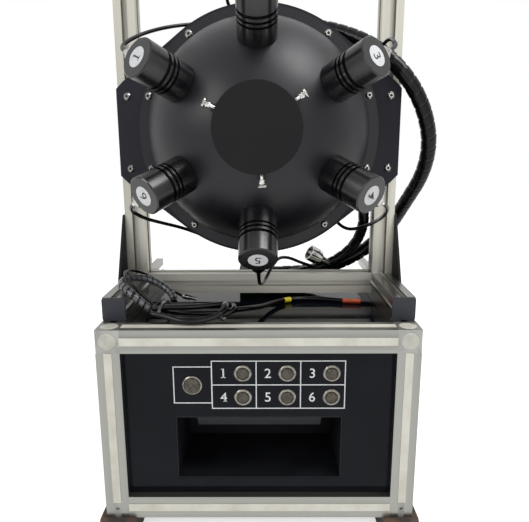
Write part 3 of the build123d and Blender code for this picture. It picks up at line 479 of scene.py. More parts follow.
def copied(pattern: bpy.types.Object, name: str, place: Matrix) -> bpy.types.Object:
    """Copies a finished pattern, with its own mesh, to one of its places.

    Args:
        pattern: The piece modelled once.
        name: The copy's name.
        place: Where it goes.

    Returns:
        The copy.
    """
    piece = pattern.copy()
    piece.data = pattern.data.copy()
    piece.name = name
    bpy.context.scene.collection.objects.link(piece)
    settle(piece, place)
    return piece


# The short cross strokes of the printed figures: each one's middle across and up, its width and its height,
# as shares of the figure's height.
SERIFS: dict[str, tuple[tuple[float, float, float, float], ...]] = {
    "1": ((0.0, -0.465, 0.5, 0.07), (-0.12, 0.44, 0.2, 0.07)),
    "4": ((0.14, -0.465, 0.38, 0.07),),
}
# How much a figure's strokes are thickened, in its own units, and the gap under which its points are merged.
STROKE_GROWTH = 0.004
MERGE_GAP = 0.00001


def digit_mark(name: str, text: str, height: float, thick: float, place: Matrix) -> bpy.types.Object:
    """Makes one printed digit as a thin mesh, centred on its place.

    Args:
        name: The piece's name.
        text: The digit.
        height: How tall it stands.
        thick: How thick the ink is.
        place: Where it goes.

    Returns:
        The mesh object.
    """
    deselect()
    bpy.ops.object.text_add(location=(0, 0, 0))
    mark = bpy.context.object
    mark.data.body = text
    mark.data.align_x = "CENTER"
    mark.data.align_y = "CENTER"
    mark.data.extrude = thick / 2
    mark.data.offset = STROKE_GROWTH
    bpy.ops.object.convert(target="MESH")
    mark = bpy.context.object
    mark.name = name
    xs = [v.co.x for v in mark.data.vertices]
    ys = [v.co.y for v in mark.data.vertices]
    grow = height / (max(ys) - min(ys))
    centre = Vector(((max(xs) + min(xs)) / 2, (max(ys) + min(ys)) / 2, 0))
    mark.data.transform(Matrix.Diagonal((grow, grow, 1, 1)) @ Matrix.Translation(-centre))
    bpy.ops.object.mode_set(mode="EDIT")
    bpy.ops.mesh.select_all(action="SELECT")
    bpy.ops.mesh.remove_doubles(threshold=MERGE_GAP)
    bpy.ops.mesh.normals_make_consistent(inside=False)
    for across, up, wide, tall in SERIFS.get(text, ()):
        bpy.ops.mesh.primitive_cube_add(
            size=1, location=(across * height, up * height, 0), scale=(wide * height, tall * height, thick)
        )
    bpy.ops.object.mode_set(mode="OBJECT")
    settle(mark, place)
    return mark


# The lamp cables run from each plug to a bundle. Their first two points, at the plug, are worked out below.
LAMP_RUNS: dict[int, list[Point]] = {
    1: [
        (-0.158, -0.066, 0.632), (-0.146, -0.026, 0.648), (-0.124, 0.006, 0.661), (-0.096, 0.028, 0.669),
        (-0.062, 0.044, 0.675), (-0.026, 0.053, 0.674), (0.012, 0.055, 0.671), (0.047, 0.048, 0.669),
    ],
    2: [
        (-0.008, -0.07, 0.722), (-0.022, -0.038, 0.728), (-0.038, -0.006, 0.722), (-0.046, 0.018, 0.704),
        (-0.04, 0.038, 0.688), (-0.014, 0.05, 0.682), (0.018, 0.054, 0.679), (0.047, 0.051, 0.676),
    ],
    3: [
        (0.168, -0.082, 0.624), (0.17, -0.058, 0.632), (0.167, -0.036, 0.633), (0.164, -0.016, 0.626),
    ],
    4: [
        (0.167, -0.066, 0.405), (0.166, -0.024, 0.393), (0.154, 0.002, 0.382), (0.134, 0.016, 0.375),
        (0.118, 0.028, 0.384), (0.112, 0.036, 0.402), (0.122, 0.034, 0.42), (0.137, 0.029, 0.431),
        (0.149, 0.025, 0.436),
    ],
    5: [
        (0.002, -0.08, 0.316), (0.008, -0.052, 0.314), (0.016, -0.022, 0.324), (0.027, 0.01, 0.334),
        (0.044, 0.036, 0.33), (0.068, 0.052, 0.316), (0.094, 0.064, 0.306),
    ],
    6: [
        (-0.158, -0.06, 0.404), (-0.142, -0.014, 0.391), (-0.116, 0.018, 0.379), (-0.086, 0.034, 0.364),
        (-0.05, 0.04, 0.352), (-0.01, 0.042, 0.346), (0.03, 0.042, 0.348), (0.066, 0.04, 0.357),
        (0.098, 0.038, 0.374), (0.124, 0.034, 0.396), (0.148, 0.027, 0.424),
    ],
}
MAIN_ROUTE: list[Point] = [
    (0.044, 0.05, 0.672), (0.082, 0.042, 0.668), (0.118, 0.022, 0.656), (0.15, -0.002, 0.638),
    (0.178, -0.022, 0.614), (0.206, -0.028, 0.582), (0.23, -0.018, 0.544), (0.244, -0.002, 0.5),
    (0.242, 0.02, 0.456), (0.226, 0.048, 0.414), (0.212, 0.076, 0.374), (0.184, 0.086, 0.34),
    (0.148, 0.088, 0.316), (0.11, 0.094, 0.3), (0.072, 0.1, 0.292), (0.04, 0.103, 0.29),
    (0.01, 0.103, 0.2905),
]
LOWER_ROUTE: list[Point] = [
    (0.146, 0.024, 0.44), (0.16, 0.027, 0.404), (0.158, 0.036, 0.37), (0.146, 0.048, 0.342),
    (0.122, 0.058, 0.32), (0.092, 0.066, 0.305), (0.062, 0.074, 0.296), (0.034, 0.079, 0.291),
    (0.01, 0.08, 0.2905),
]
DECK_LEAD_ROUTE: list[Point] = [
    (-0.0305, -0.1127, 0.2896), (-0.012, -0.093, 0.286), (0.003, -0.063, 0.279), (0.019, -0.031, 0.275),
    (0.038, -0.009, 0.2732), (0.066, 0.002, 0.2724), (0.097, -0.001, 0.2724), (0.124, -0.012, 0.2724),
]
LOOP_ROUTE: list[Point] = [
    (-0.139, -0.119, 0.2921), (-0.152, -0.1245, 0.305), (-0.167, -0.119, 0.317), (-0.181, -0.103, 0.321),
    (-0.183, -0.08, 0.322), (-0.17, -0.061, 0.322), (-0.149, -0.053, 0.315), (-0.13, -0.057, 0.304),
    (-0.118, -0.07, 0.2965), (-0.115, -0.0845, 0.2915),
]
PLUG_ROUTE: list[Point] = [
    (-0.139, -0.104, 0.2941), (-0.154, -0.104, 0.308), (-0.17, -0.098, 0.322), (-0.181, -0.084, 0.331),
    (-0.182, -0.066, 0.333), (-0.172, -0.046, 0.327), (-0.156, -0.03, 0.314), (-0.142, -0.02, 0.3),
    (-0.13, -0.012, 0.288), (-0.117, -0.008, 0.2795),
]
# The hank's turns, in mm: along it from its left end, across it, and up from its middle.
HANK_TURNS: list[Point] = [
    (107.5, 6, 0), (96, 5, -4.5), (72, 2, -5), (46, 1, -5), (22, 6, -5), (2, 16, -5),
    (2, -16, -5), (22, -15, -5), (52, -20, -5.2), (84, -15, -3.5), (106, -16, 3), (106, 18, 4),
    (84, 15, 2), (52, 13, 1.5), (22, 14, 1.5), (-1, 17, 2), (-1, -25, 2), (22, -27, 0),
    (52, -38, -5), (84, -30, -1), (97, -21, 6), (97, 13, 6.5), (80, 5, 6), (52, -7, 6),
    (24, -9, 6), (9, -10, 4.5), (-1, -11, 2.5),
]


@dataclass
class Cabinet:
    """What the front panel carries: its print, and the dark rings in its switches, which are seal and painted
    shade.

    Attributes:
        panel_front: The front panel's outer face, on Y.
        line_width: Width of a printed line.
        ink: Thickness of the print.
        grid_left, grid_low, cell_width, cell_height: The lamp switches' printed frame.
        power_low, power_high: Opposite corners of the power switch's frame, on X and Z.
        digit_height: Height of a digit.
        digit_left: How far a digit's centre stands from its cell's left line.
        switch_left: The same for a switch's centre.
        rows: Heights of the two rows of digits and switches.
        power_middle: The power switch's centre, on X and Z.
        lamp_seal, power_seal: A dark ring's inner and outer radius, and how far it stands before the panel;
            the ring is seal and painted shade.
        ring_sides: Sides of a dark ring.
    """

    panel_front: float = -0.1536
    line_width: float = 0.0013
    ink: float = 0.00012
    grid_left: float = -0.0592
    grid_low: float = 0.1715
    cell_width: float = 0.056
    cell_height: float = 0.032
    power_low: tuple[float, float] = (-0.1074, 0.179)
    power_high: tuple[float, float] = (-0.0594, 0.2278)
    digit_height: float = 0.0125
    digit_left: float = 0.0147
    switch_left: float = 0.0392
    rows: tuple[float, float] = (0.2192, 0.1869)
    power_middle: tuple[float, float] = (-0.084, 0.2034)
    lamp_seal: tuple[float, float, float] = (0.0071, 0.0084, 0.002)
    power_seal: tuple[float, float, float] = (0.0101, 0.0107, 0.0022)
    ring_sides: int = 48

    def printed_frame(
        self, name: str, low: tuple[float, float], high: tuple[float, float], cells: tuple[int, int]
    ) -> bpy.types.Object:
        """Prints a ruled frame on the panel: a grid whose edges a wireframe turns into lines.

        Args:
            name: The piece's name.
            low: Its lower left corner, on X and Z.
            high: Its upper right corner.
            cells: Cells across and up.

        Returns:
            The finished piece.
        """
        deselect()
        bpy.ops.mesh.primitive_grid_add(x_subdivisions=cells[0], y_subdivisions=cells[1], size=1)
        ruled = bpy.context.object
        ruled.name = name
        ruled.data.transform(Matrix.Diagonal((high[0] - low[0], high[1] - low[1], 1, 1)))
        work_in(ruled, "WIREFRAME", thickness=self.line_width, use_boundary=True, use_even_offset=True)
        ruled.data.transform(Matrix.Diagonal((1, 1, self.ink / self.line_width, 1)))
        middle = Vector(((low[0] + high[0]) / 2, self.panel_front - self.ink / 2, (low[1] + high[1]) / 2))
        settle(ruled, facing(middle, FORWARD, UP))
        return enter(ruled, PRINT_INK)

    def digits(self) -> None:
        """Prints 1 to 3 over 4 to 6, each left of its switch."""
        for index in range(6):
            across = self.grid_left + index % 3 * self.cell_width + self.digit_left
            middle = Vector((across, self.panel_front - self.ink / 2, self.rows[index // 3]))
            place = facing(middle, FORWARD, UP)
            mark = digit_mark(f"panel_digit_{index + 1}", str(index + 1), self.digit_height, self.ink, place)
            enter(mark, PRINT_INK)

    def shadow_ring(
        self, name: str, middle: tuple[float, float], seal_and_shade: tuple[float, float, float]
    ) -> bpy.types.Object:
        """Sets the dark ring between a switch's bezel and its cap, seal and painted shade in the gap: a disc
        inset and cut open.

        Args:
            name: The piece's name.
            middle: The switch's centre, on X and Z.
            seal_and_shade: The ring's inner and outer radius, and how far it stands before the panel.

        Returns:
            The finished piece.
        """
        inner, outer, proud = seal_and_shade
        deselect()
        bpy.ops.mesh.primitive_circle_add(vertices=self.ring_sides, radius=outer, fill_type="NGON")
        ring = bpy.context.object
        ring.name = name
        bpy.ops.object.mode_set(mode="EDIT")
        bpy.ops.mesh.select_all(action="SELECT")
        bpy.ops.mesh.inset(thickness=outer - inner)
        bpy.ops.mesh.delete(type="FACE")
        draw_up(self.ink * 2)
        bpy.ops.object.mode_set(mode="OBJECT")
        settle(ring, facing(Vector((middle[0], self.panel_front - proud, middle[1])), FORWARD, UP))
        return enter(ring, RING_SHADOW)

    def build(self) -> None:
        """Rings the switches and prints the panel."""
        for index in range(6):
            across = self.grid_left + index % 3 * self.cell_width + self.switch_left
            self.shadow_ring(f"switch_ring_{index + 1}", (across, self.rows[index // 3]), self.lamp_seal)
        self.shadow_ring("power_ring", self.power_middle, self.power_seal)
        grid_high = (self.grid_left + 3 * self.cell_width, self.grid_low + 2 * self.cell_height)
        self.printed_frame("lamp_switch_frame", (self.grid_left, self.grid_low), grid_high, (3, 2))
        self.printed_frame("power_switch_frame", self.power_low, self.power_high, (1, 1))
        self.digits()


@dataclass
class LampRing:
    """The six tilted lamp housings, with the number label on each end face.

    Attributes:
        centre: The sphere's centre.
        tilt: Angle from the front to each lamp's axis, in degrees.
        first: Clock angle of lamp 1, in degrees from straight up.
        step: Clock angle between lamps.
        end_at: The end face's distance from the centre.
        connector_at: The cable connector's distance from the centre.
        boot_end: Where the plug's boot ends, out from the lamp's axis.
        straight: How far the cable runs straight out of it.
        label_radius, label_thick, digit_height: The label's sizes.
        label_sides: Sides of its disc.
        rolled: Height of its rolled edge, as a share of its thickness.
        ink, ink_gap: Thickness of the digit, and how far its middle stands off the label.
    """

    centre: Vector = field(default_factory=lambda: Vector((0, -0.002, 0.518)))
    tilt: float = 45.0
    first: float = -60.0
    step: float = 60.0
    end_at: float = 0.217
    connector_at: float = 0.203
    boot_end: float = 0.0527
    straight: float = 0.02
    label_radius: float = 0.0122
    label_thick: float = 0.0004
    digit_height: float = 0.013
    label_sides: int = 64
    rolled: float = 0.3
    ink: float = 0.0001
    ink_gap: float = 0.00005

    def clock(self, number: int) -> float:
        """The lamp's clock angle, in radians."""
        return radians(self.first + self.step * (number - 1))

    def axis(self, number: int) -> Vector:
        """The way that a lamp points out of the sphere."""
        clock, tilt = self.clock(number), radians(self.tilt)
        return Vector((sin(clock) * sin(tilt), -cos(tilt), cos(clock) * sin(tilt)))

    def outwards(self, number: int) -> Vector:
        """The way that a lamp's connector points, square to its axis."""
        clock, tilt = self.clock(number), radians(self.tilt)
        return Vector((sin(clock) * cos(tilt), sin(tilt), cos(clock) * cos(tilt)))

    def cable_start(self, number: int) -> list[Point]:
        """The first two points of a lamp's cable, straight out of its plug's boot."""
        base = self.centre + self.axis(number) * self.connector_at
        out = self.outwards(number)
        return [tuple(base + out * reach) for reach in (self.boot_end, self.boot_end + self.straight)]

    def label_disc(self) -> bpy.types.Object:
        """Models one label: a disc drawn up from a circle, with its cut edge rolled down.

        Returns:
            The disc round the origin, its back on the face.
        """
        deselect()
        sides, radius = self.label_sides, self.label_radius
        bpy.ops.mesh.primitive_circle_add(vertices=sides, radius=radius, fill_type="NGON")
        disc = bpy.context.object
        bpy.ops.object.mode_set(mode="EDIT")
        draw_up(self.label_thick)
        pick_faces(disc, lambda face: face.normal.z > 0.9)
        bpy.ops.mesh.inset(thickness=self.label_thick, depth=self.label_thick * self.rolled)
        bpy.ops.object.mode_set(mode="OBJECT")
        return disc

    def build(self) -> None:
        """Sticks a numbered label on each lamp."""
        pattern = self.label_disc()
        for number in range(1, 7):
            axis, outwards = self.axis(number), self.outwards(number)
            face = self.centre + axis * self.end_at
            disc = copied(pattern, f"lamp_label_{number}", facing(face, axis, outwards))
            enter(disc, LABEL_VINYL)
            on_label = face + axis * (self.label_thick * (1 + self.rolled) + self.ink_gap)
            place = facing(on_label, axis, outwards)
            mark = digit_mark(f"lamp_digit_{number}", str(number), self.digit_height, self.ink, place)
            enter(mark, LABEL_INK)
        bpy.data.objects.remove(pattern)


@dataclass
class PortScrews:
    """The three thumb screws round the port, drawn as the turned parts that they are.

    Attributes:
        middle: Where their axes meet.
        clock: The angle of each, in degrees from +X towards +Z.
        tip, neck, knob, flange, end: Runs from the middle where each turned step ends.
        shank_radius, knob_radius, flange_radius: Radii of those steps.
        shoulder: Height of the step under the knob's waist.
        waist: The knob's radius at its waist, as a share.
        rim, rim_roll: Height and depth of the chamfer at the flange's end.
        edge: Width of the rolled edges.
        knurls: Flats round the flange.
    """

    middle: Vector = field(default_factory=lambda: Vector((0, -0.156, 0.518)))
    clock: tuple[float, ...] = (35.0, 155.0, 275.0)
    tip: float = 0.0461
    neck: float = 0.0585
    knob: float = 0.0635
    flange: float = 0.0648
    end: float = 0.0673
    shank_radius: float = 0.002
    knob_radius: float = 0.0038
    flange_radius: float = 0.0062
    shoulder: float = 0.001
    waist: float = 0.7
    rim: float = 0.0004
    rim_roll: float = 0.0006
    edge: float = 0.00015
    knurls: int = 24

    def turned_screw(self) -> bpy.types.Object:
        """Draws one screw up from a circle, step by step, along +Z.

        Returns:
            The screw, its tip at the right height above the origin.
        """
        deselect()
        bpy.ops.mesh.primitive_circle_add(
            vertices=self.knurls, radius=self.shank_radius, fill_type="NGON", location=(0, 0, self.tip)
        )
        screw = bpy.context.object
        bpy.ops.object.transform_apply(location=True, rotation=True, scale=True)
        bpy.ops.object.mode_set(mode="EDIT")
        bpy.ops.mesh.select_all(action="SELECT")
        radius, run = self.shank_radius, self.tip
        steps = (
            (self.neck, self.shank_radius, self.shank_radius),
            (self.knob - self.shoulder, self.knob_radius, self.knob_radius),
            (self.flange, self.knob_radius, self.knob_radius * self.waist),
            (self.end - self.rim, self.flange_radius, self.flange_radius),
            (self.end, self.flange_radius, self.flange_radius - self.rim_roll),
        )
        for until, wide, narrow in steps:
            for new_radius, new_run in ((wide, run), (narrow, until)):
                if new_radius == radius and new_run == run:
                    continue
                grow = new_radius / radius
                bpy.ops.mesh.extrude_region_move(TRANSFORM_OT_translate={"value": (0, 0, new_run - run)})
                bpy.ops.transform.resize(value=(grow, grow, 1), center_override=(0, 0, new_run))
                radius, run = new_radius, new_run
        face_outwards()
        bpy.ops.object.mode_set(mode="OBJECT")
        work_in(screw, "BEVEL", width=self.edge, segments=2, limit_method="ANGLE")
        bpy.ops.object.shade_smooth_by_angle(angle=radians(35))
        return screw

    def build(self) -> None:
        """Places the three screws, each on its own turning body."""
        pattern = self.turned_screw()
        for number, angle in enumerate(self.clock, start=1):
            outward = Vector((cos(radians(angle)), 0, sin(radians(angle))))
            screw = copied(pattern, f"port_screw_{number}", facing(self.middle, outward, FORWARD))
            enter(screw, NICKEL, f"thumb_{number}")
            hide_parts(f"thumb_screw_{number}")
        bpy.data.objects.remove(pattern)


@dataclass
class ScrewSockets:
    """Dark hexagons in the sockets of the plate's button-head screws: painted shadow, for the shade that sits
    there.

    Attributes:
        sphere: The sphere's centre, in the plane of the plate's front face.
        rim_front: How far the shell's rim stands in front of that plane.
        rim_radius: Radius of the rim's ring of screws.
        rim_count: Screws in that ring.
        rim_start: Angle of the first, in degrees from +X towards +Z.
        ear: Half the distance between the ears' screws, across and up.
        across: Radius of the hexagon's corners.
        floor, mouth: Where the painted shadow starts and ends, above the face that carries the head.
        lip, sunk: Width of its edge, and depth of the hollow in its middle.
    """

    sphere: Vector = field(default_factory=lambda: Vector((0, -0.002, 0.518)))
    rim_front: float = 0.004
    rim_radius: float = 0.162
    rim_count: int = 10
    rim_start: float = 18.0
    ear: tuple[float, float] = (0.185, 0.05)
    across: float = 0.00195
    floor: float = 0.0011
    mouth: float = 0.0032
    lip: float = 0.0003
    sunk: float = 0.0008

    def filling(self) -> bpy.types.Object:
        """Models one socket's painted shadow, facing +Z with its floor at its own height.

        Returns:
            The mesh object.
        """
        deselect()
        middle = (0, 0, (self.mouth + self.floor) / 2)
        bpy.ops.mesh.primitive_cylinder_add(
            vertices=6, radius=self.across, depth=self.mouth - self.floor, location=middle
        )
        socket = bpy.context.object
        pick_faces(socket, lambda face: face.normal.z > 0.9)
        bpy.ops.mesh.inset(thickness=self.lip)
        bpy.ops.transform.translate(value=(0, 0, -self.sunk))
        bpy.ops.object.mode_set(mode="OBJECT")
        return socket

    def spots(self) -> list[Vector]:
        """Lists the screws of the rim and then those of the ears.

        Returns:
            The middle of each head's seat.
        """
        turns = [radians(self.rim_start + 360 * number / self.rim_count) for number in range(self.rim_count)]
        rim = [
            self.sphere + Vector((cos(turn) * self.rim_radius, -self.rim_front, sin(turn) * self.rim_radius))
            for turn in turns
        ]
        across, up = self.ear
        return rim + [self.sphere + Vector((x, 0, z)) for x in (-across, across) for z in (-up, up)]

    def build(self) -> None:
        """Copies the painted shadow into every screw of the plate."""
        pattern = self.filling()
        for number, spot in enumerate(self.spots(), start=1):
            socket = copied(pattern, f"screw_socket_shadow_{number}", facing(spot, FORWARD, UP))
            enter(socket, RING_SHADOW)
        bpy.data.objects.remove(pattern)


# Steps of a cord's line between two control points, and the roundness of its section.
CORD_STEPS = 6
CORD_ROUNDNESS = 5
# Steps of a spiral wrap in one turn, its thickness, and the angle under which its faces are shaded as one.
STEPS_A_TURN = 14
WRAP_THICK = 0.0007
SMOOTH_UNDER = radians(40)


@dataclass
class Cable:
    """One free cable on a smooth line.

    Attributes:
        name: The piece's name.
        node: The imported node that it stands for.
        points: Its route's control points.
        diameter: Its real diameter.
        length: Its real length.
        far_end: What is on its far end.
        stiffness: limp, medium or stiff.
        lay: How it lies.
    """

    name: str
    node: str
    points: list[Point]
    diameter: float
    length: float
    far_end: str = "object"
    stiffness: str = "medium"
    lay: Lay = Lay.LOOSE

    def build(self, with_pieces: tuple[str, ...] = ()) -> bpy.types.Object:
        """Args:
            with_pieces: The separate pieces on it; not used.

        Returns:
            The curve object.
        """
        line = bpy.data.curves.new(self.name, "CURVE")
        line.dimensions = "3D"
        spline = line.splines.new("NURBS")
        spline.points.add(len(self.points) - 1)
        for control, point in zip(spline.points, self.points):
            control.co = (*point, 1.0)
        spline.order_u = 3
        spline.use_endpoint_u = True
        line.resolution_u = CORD_STEPS
        line.bevel_depth = self.diameter / 2
        line.bevel_resolution = CORD_ROUNDNESS
        line.use_fill_caps = True
        cable = bpy.data.objects.new(self.name, line)
        bpy.context.scene.collection.objects.link(cable)
        enter(cable, JACKET)
        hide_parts(self.node)
        return cable

    def centre_line(self) -> "CentreLine":
        """Reads the smooth line that the control points give."""
        line = bpy.data.objects[self.name].data.copy()
        line.bevel_depth = 0
        bare = bpy.data.objects.new("bare_line", line)
        bpy.context.scene.collection.objects.link(bare)
        bpy.context.view_layer.update()
        read = bpy.data.meshes.new_from_object(bare.evaluated_get(bpy.context.evaluated_depsgraph_get()))
        stations = [v.co.copy() for v in read.vertices]
        bpy.data.objects.remove(bare)
        bpy.data.meshes.remove(read)
        bpy.data.curves.remove(line)
        return CentreLine(stations)


@dataclass
class CentreLine:
    """A cable's centre line as close stations, each with its own cross axes.

    Attributes:
        stations: Points along the line.
    """

    stations: list[Vector]

    def __post_init__(self) -> None:
        """Works out the run to each station and carries one cross axis along without twist."""
        self.runs = [0.0]
        for before, here in zip(self.stations, self.stations[1:]):
            self.runs.append(self.runs[-1] + (here - before).length)
        ways = [(b - a).normalized() for a, b in zip(self.stations, self.stations[1:])]
        self.ways = ways + [ways[-1]]
        across = self.ways[0].orthogonal().normalized()
        self.across = []
        for way in self.ways:
            across = (across - way * across.dot(way)).normalized()
            self.across.append(across.copy())

    def at(self, run: float) -> tuple[Vector, Vector, Vector, Vector]:
        """The centre, the way along and the two cross axes at a run from the start.

        Args:
            run: Distance along the line.

        Returns:
            Centre, way, first and second cross axis.
        """
        run = min(max(run, 0.0), self.runs[-1] - 1e-6)
        index = max(i for i, reached in enumerate(self.runs[:-1]) if reached <= run)
        share = (run - self.runs[index]) / (self.runs[index + 1] - self.runs[index])
        centre = self.stations[index].lerp(self.stations[index + 1], share)
        way, across = self.ways[index], self.across[index].lerp(self.across[index + 1], share).normalized()
        return centre, way, across, way.cross(across)

    def ribbon(
        self, name: str, span: tuple[float, float], radius: float, pitch: float, width: float
    ) -> bpy.types.Object:
        """Winds a flat strip round the line.

        Args:
            name: The piece's name.
            span: Where it starts and ends along the line.
            radius: Its distance from the line.
            pitch: Run per turn.
            width: The strip's width along the line.

        Returns:
            The mesh object, with its thickness.
        """
        steps = round((span[1] - span[0]) / pitch * STEPS_A_TURN)
        corners, faces = [], []
        for step in range(steps + 1):
            run = span[0] + (span[1] - span[0]) * step / steps
            turn = 2 * pi * (run - span[0]) / pitch
            centre, way, first, second = self.at(run)
            out = (first * cos(turn) + second * sin(turn)) * radius
            corners += [centre + out - way * width / 2, centre + out + way * width / 2]
            if step:
                faces.append((2 * step - 2, 2 * step, 2 * step + 1, 2 * step - 1))
        return thickened(name, corners, faces, WRAP_THICK)

    def sleeve(self, name: str, span: tuple[float, float], radius: float, thick: float) -> bpy.types.Object:
        """Slips a short tube over the line.

        Args:
            name: The piece's name.
            span: Where it starts and ends along the line.
            radius: Its inner radius.
            thick: Its wall.

        Returns:
            The mesh object.
        """
        sides, rings = 24, 6
        corners, faces = [], []
        for ring in range(rings + 1):
            centre, _, first, second = self.at(span[0] + (span[1] - span[0]) * ring / rings)
            turns = [2 * pi * side / sides for side in range(sides)]
            corners += [centre + (first * cos(turn) + second * sin(turn)) * radius for turn in turns]
            if ring:
                low, high = (ring - 1) * sides, ring * sides
                pairs = [(side, (side + 1) % sides) for side in range(sides)]
                faces += [(low + a, low + b, high + b, high + a) for a, b in pairs]
        return thickened(name, corners, faces, thick)


def thickened(name: str, corners: list[Vector], faces: list[tuple], thick: float) -> bpy.types.Object:
    """Turns an open skin into a closed piece with a wall.

    Args:
        name: The piece's name.
        corners: The skin's points.
        faces: Its faces.
        thick: The wall's thickness.

    Returns:
        The mesh object.
    """
    mesh = bpy.data.meshes.new(name)
    mesh.from_pydata(corners, [], faces)
    piece = bpy.data.objects.new(name, mesh)
    bpy.context.scene.collection.objects.link(piece)
    deselect()
    piece.select_set(True)
    bpy.context.view_layer.objects.active = piece
    bpy.ops.object.mode_set(mode="EDIT")
    face_outwards()
    bpy.ops.object.mode_set(mode="OBJECT")
    work_in(piece, "SOLIDIFY", thickness=thick, offset=0)
    bpy.ops.object.shade_smooth_by_angle(angle=SMOOTH_UNDER)
    return piece


@dataclass
class Harness:
    """The lamp cables, the two bundles that gather them, and the black spiral wrap round each bundle.

    Attributes:
        lamps: The lamp ring that the cables start from.
        lengths: Each lamp cable's length.
        main_length, lower_length: The bundles' lengths.
        lamp_cable, main_cable, lower_cable: Diameters.
        wrap_pitch, wrap_width: The spiral wrap's run per turn and its strip's width.
        wrap_gap: How far the wrap stands off the bundle.
        bare_start, bare_end: Runs of a bundle that the wrap leaves bare.
    """

    lamps: LampRing
    lengths: tuple[float, ...] = (0.323, 0.263, 0.103, 0.243, 0.224, 0.451)
    lamp_cable: float = 0.005
    main_cable: float = 0.020
    lower_cable: float = 0.015
    wrap_pitch: float = 0.0165
    wrap_width: float = 0.0125
    main_length: float = 0.686
    lower_length: float = 0.259
    wrap_gap: float = 0.0004
    bare_start: float = 0.012
    bare_end: float = 0.03

    def build(self) -> None:
        """Lays every cable of the harness and winds the wraps."""
        for number, length in enumerate(self.lengths, start=1):
            points = self.lamps.cable_start(number) + LAMP_RUNS[number]
            Cable(f"lamp_cable_{number}", "lamp_cables", points, self.lamp_cable, length).build()
        main = Cable("main_bundle_cord", "main_bundle", MAIN_ROUTE, self.main_cable, self.main_length)
        main.build()
        lower = Cable("lower_bundle_cord", "lower_bundle", LOWER_ROUTE, self.lower_cable, self.lower_length)
        lower.build()
        for cable, name in ((main, "main_wrap"), (lower, "lower_wrap")):
            line = cable.centre_line()
            radius = cable.diameter / 2 + self.wrap_gap
            span = (self.bare_start, line.runs[-1] - self.bare_end)
            wrap = line.ribbon(name, span, radius, self.wrap_pitch, self.wrap_width)
            enter(wrap, BLACK_WRAP)


@dataclass
class DeckLeads:
    """The tied hank on the deck and the three leads that come out of it.

    Attributes:
        start: The middle of the hank's left end.
        along: The way that it lies.
        cord, loop_cord, plug_cord: Diameters of the hank and its lead, the loop and the plug's lead.
        hank_length, lead_length, loop_length, plug_length: Their lengths.
        ties_at: Where the two ties hold it, from its left end.
        tie_half: Half width and half height inside a tie.
        tie_width, tie_thick, tie_edge, tie_sides: A tie's width, thickness, rounding and sides.
        tag_at: Where the yellow marker sits on the deck lead.
        tag_radius, tag_thick: The marker's inner radius and wall.
        wrap_bare: What the loop's wrap leaves bare at each end.
        wrap_radius, wrap_pitch, wrap_width: The wrap's distance, run per turn and width.
    """

    start: Vector = field(default_factory=lambda: Vector((-0.138, -0.108, 0.2896)))
    along: Vector = field(default_factory=lambda: Vector((1, -0.1, 0)).normalized())
    cord: float = 0.007
    loop_cord: float = 0.009
    plug_cord: float = 0.004
    hank_length: float = 0.625
    lead_length: float = 0.215
    loop_length: float = 0.183
    plug_length: float = 0.185
    ties_at: tuple[float, float] = (0.012, 0.092)
    tie_half: tuple[float, float] = (0.0225, 0.0098)
    tie_width: float = 0.0036
    tie_thick: float = 0.0011
    tie_edge: float = 0.0003
    tie_sides: int = 48
    tag_at: tuple[float, float] = (0.122, 0.134)
    tag_radius: float = 0.0036
    tag_thick: float = 0.0006
    wrap_bare: float = 0.006
    wrap_radius: float = 0.0049
    wrap_pitch: float = 0.0085
    wrap_width: float = 0.0062

    def hank_points(self) -> list[Point]:
        """The hank's turns: five runs along the deck, with folds that fan out at both ends."""
        across = UP.cross(self.along)
        return [
            tuple(self.start + self.along * run * MM + across * side * MM + Vector((0, 0, rise * MM)))
            for run, side, rise in HANK_TURNS
        ]

    def tie(self, name: str, run: float) -> bpy.types.Object:
        """Makes one tie: an open ring drawn out to its width, rounded and given its thickness.

        Args:
            name: The piece's name.
            run: Where it holds the hank, from its left end.

        Returns:
            The finished piece.
        """
        deselect()
        bpy.ops.mesh.primitive_circle_add(vertices=self.tie_sides, radius=1.0, fill_type="NOTHING")
        band = bpy.context.object
        band.name = name
        band.data.transform(Matrix.Diagonal((*self.tie_half, 1, 1)))
        bpy.ops.object.mode_set(mode="EDIT")
        draw_up(self.tie_width)
        bpy.ops.object.mode_set(mode="OBJECT")
        work_in(band, "SOLIDIFY", thickness=self.tie_thick, offset=1)
        work_in(band, "BEVEL", width=self.tie_edge, segments=2)
        bpy.ops.object.shade_smooth_by_angle(angle=SMOOTH_UNDER)
        settle(band, facing(self.start + self.along * run, self.along, UP))
        return enter(band, CLEAR_TIE)

    def build(self) -> None:
        """Lays the hank, its ties and the leads."""
        Cable(
            "deck_hank_cord",
            "deck_hank",
            self.hank_points(),
            self.cord,
            self.hank_length,
            stiffness="limp",
            lay=Lay.COILED,
        ).build()
        for index, run in enumerate(self.ties_at, start=1):
            self.tie(f"hank_tie_{index}", run)
        lead = Cable("deck_lead_cord", "deck_lead", DECK_LEAD_ROUTE, self.cord, self.lead_length, "connector")
        loop = Cable("wrapped_loop_cord", "wrapped_loop", LOOP_ROUTE, self.loop_cord, self.loop_length)
        loop.stiffness = "limp"
        plug = Cable("plug_lead_cord", "plug_lead", PLUG_ROUTE, self.plug_cord, self.plug_length, "plug")
        lead.build(("deck_connector",))
        loop.build()
        plug.build(("lead_plug",))
        tag = lead.centre_line().sleeve("deck_lead_marker", self.tag_at, self.tag_radius, self.tag_thick)
        enter(tag, YELLOW_TAG)
        line = loop.centre_line()
        span = (self.wrap_bare, line.runs[-1] - self.wrap_bare)
        wrap = line.ribbon("loop_wrap", span, self.wrap_radius, self.wrap_pitch, self.wrap_width)
        enter(wrap, CLEAR_WRAP)


